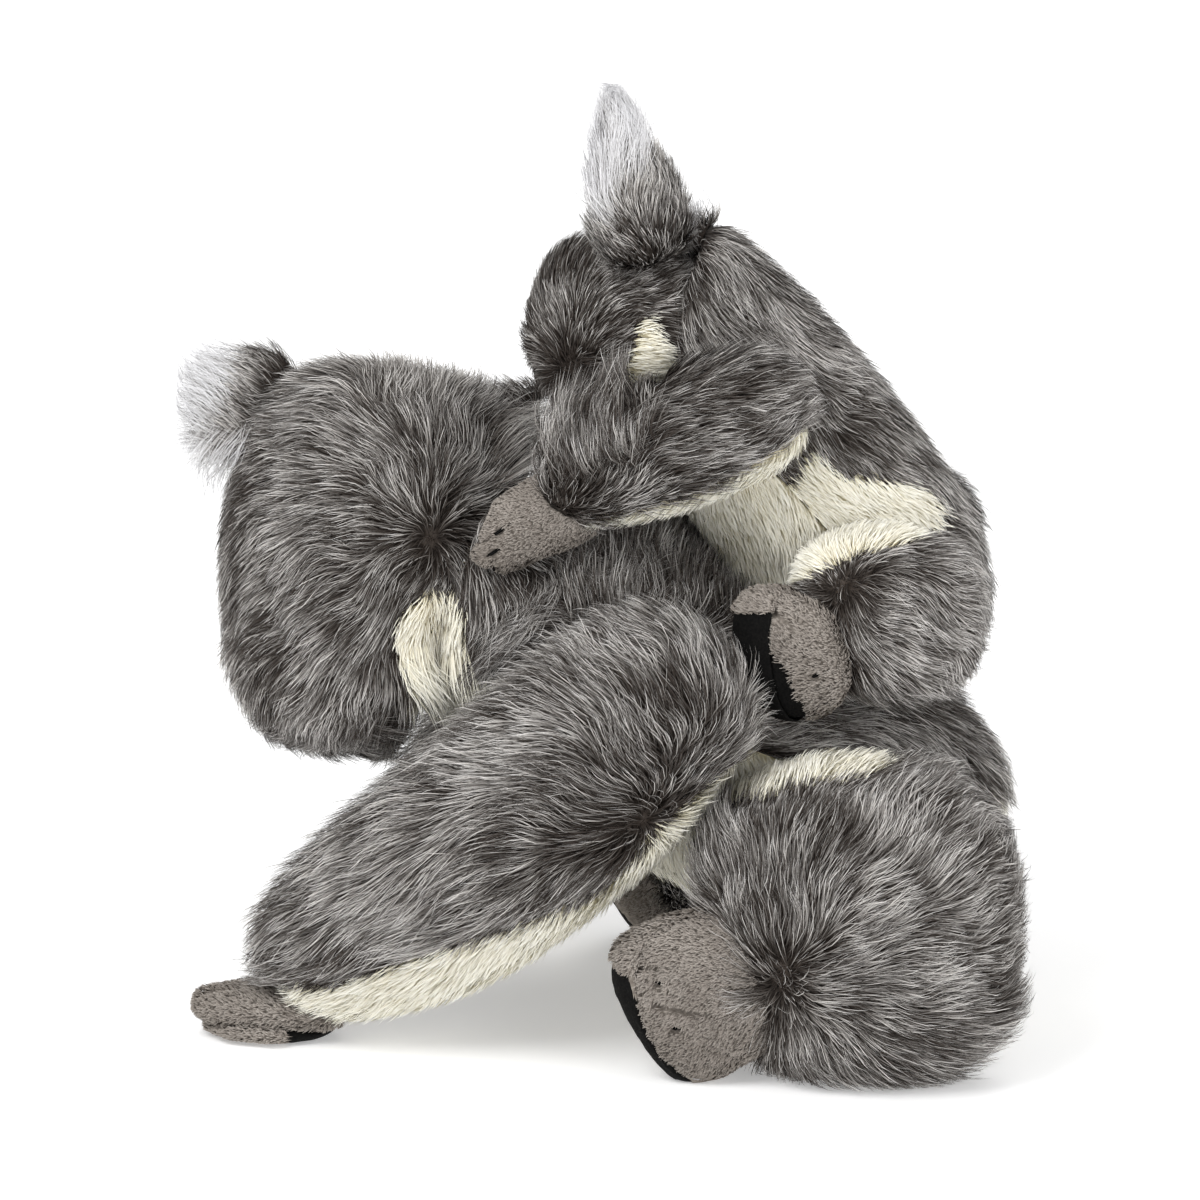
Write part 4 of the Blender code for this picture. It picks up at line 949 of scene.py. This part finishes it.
def paw_relief(node):
    """Creases between the toes or fingers, and a dimple under each claw stitch."""
    kind, side = node.rsplit("_", 1)
    outward = -1 if side == "left" else 1

    def relief(places, normals):
        spots = as_left(node, places)
        total = np.zeros(len(spots))
        for origin, along, reach, depth in PAW_CREASES[kind]:
            crossing = (0.0, 1.0, 0.0) if kind == "mother_hand" else (-along[2], 0.0, along[0])
            total += groove(spots, origin, along, crossing, reach, depth)
        shown = as_left(node, eased(node, places))
        for (x, z), _, _ in CLAWS.get(kind, ()):
            gap = np.hypot(shown[:, 0] - x, shown[:, 2] - z)
            total -= CLAW_DIMPLE * np.exp(-((gap / CLAW_REACH) ** 2)) * (normals[:, 1] * outward > 0)
        return total

    return relief


def stitch_claws(node):
    """Short black threads sewn over toes and fingers, arched and thinner at their ends."""
    kind, side = node.rsplit("_", 1)
    mesh = bpy.data.objects[node + "_skin"].data
    tree = BVHTree.FromPolygons([v.co for v in mesh.vertices], [p.vertices for p in mesh.polygons])
    work = bmesh.new()
    way_in = Vector((0.0, 1.0 if side == "left" else -1.0, 0.0))
    turns = [2 * math.pi * j / THREAD_SIDES for j in range(THREAD_SIDES)]
    for (x, z), slant, length in CLAWS[kind]:
        spot = np.array((x, 0.0, z))
        if side == "right":
            spot = middle_of(node) + (spot - middle_of(kind + "_left")) * FLIP
        place, normal, _, _ = tree.ray_cast(Vector((spot[0], -0.3 * way_in.y, spot[2])), way_in)
        if place is None:
            continue
        along = Vector((math.cos(slant), 0.0, math.sin(slant)))
        along = (along - along.dot(normal) * normal).normalized()
        over = along.cross(normal).normalized()
        loops = []
        for k in range(THREAD_RINGS):
            share = 2 * k / (THREAD_RINGS - 1) - 1
            near, facing, _, _ = tree.find_nearest(place + along * (0.5 * length * share))
            middle = near + facing * (THREAD_ARCH * (1 - share * share) - THREAD_SEAT)
            radius = THREAD * (1 - THREAD_FALL * share**4)
            ways = [over * math.cos(turn) + normal * math.sin(turn) for turn in turns]
            loops.append([work.verts.new(middle + way * radius) for way in ways])
        for first, second in zip(loops, loops[1:]):
            for j in range(THREAD_SIDES):
                after = (j + 1) % THREAD_SIDES
                work.faces.new((first[j], first[after], second[after], second[j]))
        work.faces.new(loops[0][::-1])
        work.faces.new(loops[-1])
    bmesh.ops.recalc_face_normals(work, faces=work.faces)
    made = bpy.data.meshes.new(node + "_claws")
    work.to_mesh(made)
    work.free()
    for face in made.polygons:
        face.use_smooth = True
    made.materials.append(BACKINGS["suede"])
    piece = add_object(node + "_claws", made)
    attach(piece, body_of(NODES[node])[0])


def nostrils(node):
    """Two dents in the front of a nose."""
    low, high = box_of(node)
    middle, size = 0.5 * (low + high), high - low
    facing = unit(middle - middle_of(node.replace("nose", "head_stuffing")))
    across = unit(np.cross((0, 0, 1.0), facing))
    radius = NOSTRIL * np.linalg.norm(size) * 0.5
    front = middle + facing * NOSTRIL_FORWARD * size.min() - np.array((0, 0, NOSTRIL_DOWN)) * size[2]

    def relief(places, normals):
        total = np.zeros(len(places))
        for sign in (-1, 1):
            gap = np.linalg.norm(places - (front + across * sign * NOSTRIL_ASIDE * radius), axis=1)
            total -= NOSTRIL_DEPTH * radius * np.exp(-((gap / radius) ** 2))
        return total

    return relief


for name in sorted(NODES):
    if "stuffing" in name:
        filling = dress(name, "filling", level=1, suffix="_filling")
        filling.data.materials[0] = BACKINGS["cream" if name.endswith(SIDES) else "grey"]
    elif "eye" in name:
        dress(name, "bead", suffix="_bead")
    elif "nose" in name:
        dress(name, "nose", sculpt=nostrils(name), suffix="_moulding")
    elif "sole" in name or "palm" in name:
        dress(name, "suede")
    elif "hand" in name or "foot" in name:
        dress(name, "paw", level=3, sculpt=paw_relief(name))
    elif any(word in name for word in ("belly", "underarm", "muzzle", "lining")):
        dress(name, "cream")
    else:
        dress(name, "grey")


# ---- The pile, piece by piece

# Length, height, density, width, tone, its spread, gathering and turn
MOTHER_LONG = Look(0.024, 0.0074, 0.8, 0.0003, 0.54, 0.2, 0.38, 0.2)
MOTHER_ARM = MOTHER_LONG._replace(height=0.0094)
MOTHER_HEAD = Look(0.02, 0.005, 0.88, 0.00028, 0.49, 0.19, 0.38, 0.2)
MOTHER_CREAM = Look(0.0105, 0.0048, 1.5, 0.00046, 0.6, 0.15, 0.08, 0.12)
SADDLE_LOOK = MOTHER_LONG._replace(height=0.015, dense=0.9, tone=0.42)
NAPE_LOOK = MOTHER_HEAD._replace(length=0.031, height=0.016, dense=1.2, tone=0.95)
JOWL_LOOK = MOTHER_HEAD._replace(length=0.023, height=0.008, dense=1.2)
HEM_LOOK = MOTHER_CREAM._replace(length=0.027, height=0.007)
JOEY_LONG = Look(0.017, 0.0042, 1.0, 0.00027, 0.57, 0.19, 0.36, 0.19)
JOEY_ARM = JOEY_LONG._replace(height=0.0065, tone=0.44)
JOEY_LEG = JOEY_LONG._replace(tone=0.63)
JOEY_HEAD = Look(0.012, 0.0038, 1.2, 0.00027, 0.3, 0.18, 0.3, 0.18)
JOEY_CREAM = Look(0.008, 0.0036, 1.8, 0.00042, 0.6, 0.15, 0.08, 0.12)
CUFF_LOOK = JOEY_ARM._replace(length=0.026, height=0.014, dense=1.45, tone=0.39)
EAR_BACK = Look(0.013, 0.0045, 1.3, 0.00028, 0.64, 0.22, 0.28, 0.18)
EAR_FRINGE = Look(0.0185, 0.0072, 1.2, 0.00022, 0.74, 0.18, 0.2, 0.18)
EAR_SKIRT = EAR_FRINGE._replace(length=0.024, dense=0.8, tone=0.55)
EAR_TUFT = Look(0.026, 0.0045, 1.2, 0.00021, 0.92, 0.15, 0.24, 0.15)
PAW_SHORT = Look(0.0027, 0.0016, 3.2, 0.00044, 0.5, 0.16, 0.15, 0.35)
HAND_SHORT = PAW_SHORT._replace(length=0.0017, height=0.001, width=0.00036, dense=4.2)
MUZZLE_SHORT = Look(0.006, 0.003, 2.0, 0.0004, 0.6, 0.15, 0.12, 0.15)
CREAMS = {"mother": MOTHER_CREAM, "joey": JOEY_CREAM}


def underneath(look):
    """The shorter and darker coat under the long strands."""
    return look._replace(
        length=0.64 * look.length,
        height=0.62 * look.height,
        dense=0.9 * look.dense,
        width=1.5 * look.width,
        tone=look.tone - 0.34,
        spread=0.6 * look.spread,
    )


def thinner(look):
    return look._replace(dense=0.7 * look.dense)


def grow_coat(name, node, region, look, cream=None):
    """A grey coat in two layers, with cream pile in its own areas."""
    plain = picker(clear_places if cream else frost_places, node, False)
    grow_pile(name + "_undercoat", node, region, "grey", underneath(look), plain)
    grow_pile(name + "_pile", node, region, "grey", look, plain)
    if cream:
        grow_pile(name + "_cream_pile", node, region, "cream", cream, picker(cream_places, node))


def grow_panel_coats(who, head, back):
    for part, region, look in (("head", "_head", head), ("chin", "_head", head), ("back", "_back", back)):
        name = who + "_" + part
        grow_coat(name, name + "_panel", who + region, look, CREAMS[who])


grow_panel_coats("mother", MOTHER_HEAD, MOTHER_LONG)
for region, node, outline, look in (
    ("mother_saddle", "mother_back_panel", SADDLE, SADDLE_LOOK),
    ("mother_nape", "mother_head_panel", NAPE, NAPE_LOOK),
    ("mother_jowl", "mother_chin_panel", JOWL, JOWL_LOOK),
):
    grow_pile(region + "_pile", node, region, "grey", look, picker(area_in(outline), node))
in_hem = area_in(BIB_HEM)
for node in ("mother_chin_panel", "mother_back_panel", "mother_head_panel"):
    hem = picker(lambda n, places: in_hem(n, places) & cream_places(n, places), node)
    grow_pile(node + "_hem", node, "mother_hem", "cream", HEM_LOOK, hem)
grow_panel_coats("joey", JOEY_HEAD, JOEY_LONG)
for name, node, region, look in (
    ("mother_muzzle_pile", "mother_muzzle", "mother_head", MUZZLE_SHORT),
    ("mother_belly_pile", "mother_belly_panel", "mother_belly", MOTHER_CREAM),
    ("joey_belly_pile", "joey_belly_panel", "joey_belly", JOEY_CREAM),
):
    grow_pile(name, node, region, "cream", look)
for node in sorted(name for name in NODES if "stuffing" in name):
    # Pile where a filling would lie bare between two seams
    who, part = node.split("_")[:2]
    if node.endswith(SIDES):
        grow_pile(node + "_pile", node, who + "_" + part, "cream", thinner(CREAMS[who]))
    else:
        coat, region = MOTHER_HEAD if who == "mother" else JOEY_LONG, who + ("_head" if part == "head" else "_back")
        grow_pile(node + "_pile", node, region, "grey", thinner(coat))
for side in SIDES:
    for region, look in (
        ("mother_arm", MOTHER_ARM),
        ("mother_leg", MOTHER_LONG),
        ("joey_arm", JOEY_ARM),
        ("joey_leg", JOEY_LEG),
    ):
        node = region + "_" + side
        grow_coat(node, node, region, look, CREAMS[region.split("_")[0]])
    node = "joey_arm_" + side
    grow_pile(node + "_cuff_pile", node, "joey_cuff", "grey", CUFF_LOOK, picker(area_in(CUFF), node))
    for who, fringe in (("mother", EAR_FRINGE), ("joey", EAR_TUFT)):
        region = who + "_ear"
        node = region + "_" + side
        grow_coat(node, node, region, EAR_BACK)
        grow_pile(node + "_fringe", node, region, "frost", fringe, picker(frost_places, node))
        if who == "mother":
            low = picker(lambda n, places: places[:, 2] < middle_of(n)[2], node)
            grow_pile(node + "_skirt", node, "mother_skirt", "frost", EAR_SKIRT, low)
        region = who + "_underarm"
        node = region + "_" + side
        grow_pile(node + "_pile", node, region, "cream", CREAMS[who])
        for part in ("_hand", "_foot"):
            region = who + part
            node = region + "_" + side
            shown = picker(sole_places, node, False, TRIM_EDGE)
            short = HAND_SHORT if region == "joey_hand" else PAW_SHORT
            grow_pile(node + "_pile", node, region, "paw", short, shown, paw_relief(node))
            if region in CLAWS:
                stitch_claws(node)
        sole = "%s_sole_%s" % (who, side)
        shown = picker(toe_places, sole, True, TRIM_EDGE)
        grow_pile(sole + "_toe_pile", sole, who + "_foot", "paw", PAW_SHORT, shown)
    palm = "mother_palm_" + side
    grow_pile(palm + "_finger_pile", palm, "mother_hand", "paw", PAW_SHORT, picker(toe_places, palm, True, TRIM_EDGE))
    lining = "mother_ear_lining_" + side
    grow_pile(lining + "_pile", lining, "mother_ear", "frost", EAR_FRINGE)


# ---- Floor, light and camera

FLOOR_HALF, WHITE = 6.0, (1.0, 1.0, 1.0, 1.0)
FLOOR_LOOK = dict(Roughness=0.9, **DULLER, Base_Color=(0.86, 0.86, 0.86, 1.0))
FLOOR_GLOW = dict(Emission_Color=WHITE, Emission_Strength=0.32)
# The world as it is seen, and as it lights
WORLD_SEEN, WORLD_FILL = 1.0, 0.55
# Area lights: name, place, size and power, all aimed at the middle of the pair
LIGHTS = (
    ("key", (-0.7, -1.3, 1.7), 1.1, 29.0),
    ("fill", (1.5, -1.2, 0.8), 1.2, 12.5),
    ("back", (0.3, 1.6, 1.3), 1.2, 14.0),
)
LIT_MIDDLE = Vector((0.0, 0.0, 0.16))
# The camera: the width it sees, the place it looks at, its shift right and up, its distance
VIEW_WIDTH, VIEW_ORIGIN, VIEW_RIGHT, VIEW_UP, VIEW_DISTANCE = 0.48, Vector((-0.0019, 0.0, 0.005)), -0.004, 0.1572, 2.0
VIEW_END = 20.0


def lay_floor():
    material = principled("pale floor", **FLOOR_LOOK, **FLOOR_GLOW)[0]
    mesh = bpy.data.meshes.new("floor")
    corners = [(FLOOR_HALF * x, FLOOR_HALF * y, 0) for x, y in ((-1, -1), (1, -1), (1, 1), (-1, 1))]
    mesh.from_pydata(corners, [], [(0, 1, 2, 3)])
    mesh.materials.append(material)
    add_object("floor", mesh)


def place_lamps():
    for name, place, size, power in LIGHTS:
        lamp = bpy.data.lights.new(name, "AREA")
        lamp.shape, lamp.size, lamp.energy = "DISK", size, power
        holder = add_object(name, lamp)
        holder.location = place
        holder.rotation_euler = (LIT_MIDDLE - Vector(place)).to_track_quat("-Z", "Y").to_euler()


def light_world():
    """A white world that lights the pair less than it shows."""
    world = bpy.data.worlds.new("studio")
    bpy.context.scene.world = world
    world.use_nodes = True
    tree = world.node_tree
    tree.nodes.clear()
    paths = add_node(tree, "LightPath")
    direct = add_node(tree, "Math")
    direct.operation = "MAXIMUM"
    for socket, ray in enumerate(("Is Camera Ray", "Is Transmission Ray")):
        tree.links.new(paths.outputs[ray], direct.inputs[socket])
    mix = add_node(tree, "MixShader", Fac=direct.outputs[0])
    for socket, strength in ((1, WORLD_FILL), (2, WORLD_SEEN)):
        background = add_node(tree, "Background", Color=WHITE, Strength=strength)
        tree.links.new(background.outputs[0], mix.inputs[socket])
    add_node(tree, "OutputWorld", Surface=mix.outputs[0])


def place_camera():
    forward, right = Vector(INTO_VIEW), Vector(ACROSS_VIEW)
    up = right.cross(forward)
    data = bpy.data.cameras.new("camera")
    data.type = "ORTHO"
    data.ortho_scale = VIEW_WIDTH
    data.clip_end = VIEW_END
    camera = add_object("camera", data)
    camera.location = VIEW_ORIGIN + right * VIEW_RIGHT + up * VIEW_UP - forward * VIEW_DISTANCE
    camera.rotation_euler = forward.to_track_quat("-Z", "Y").to_euler()
    bpy.context.scene.camera = camera


lay_floor()
light_world()
place_lamps()
place_camera()
bpy.context.scene.view_settings.view_transform = "Standard"
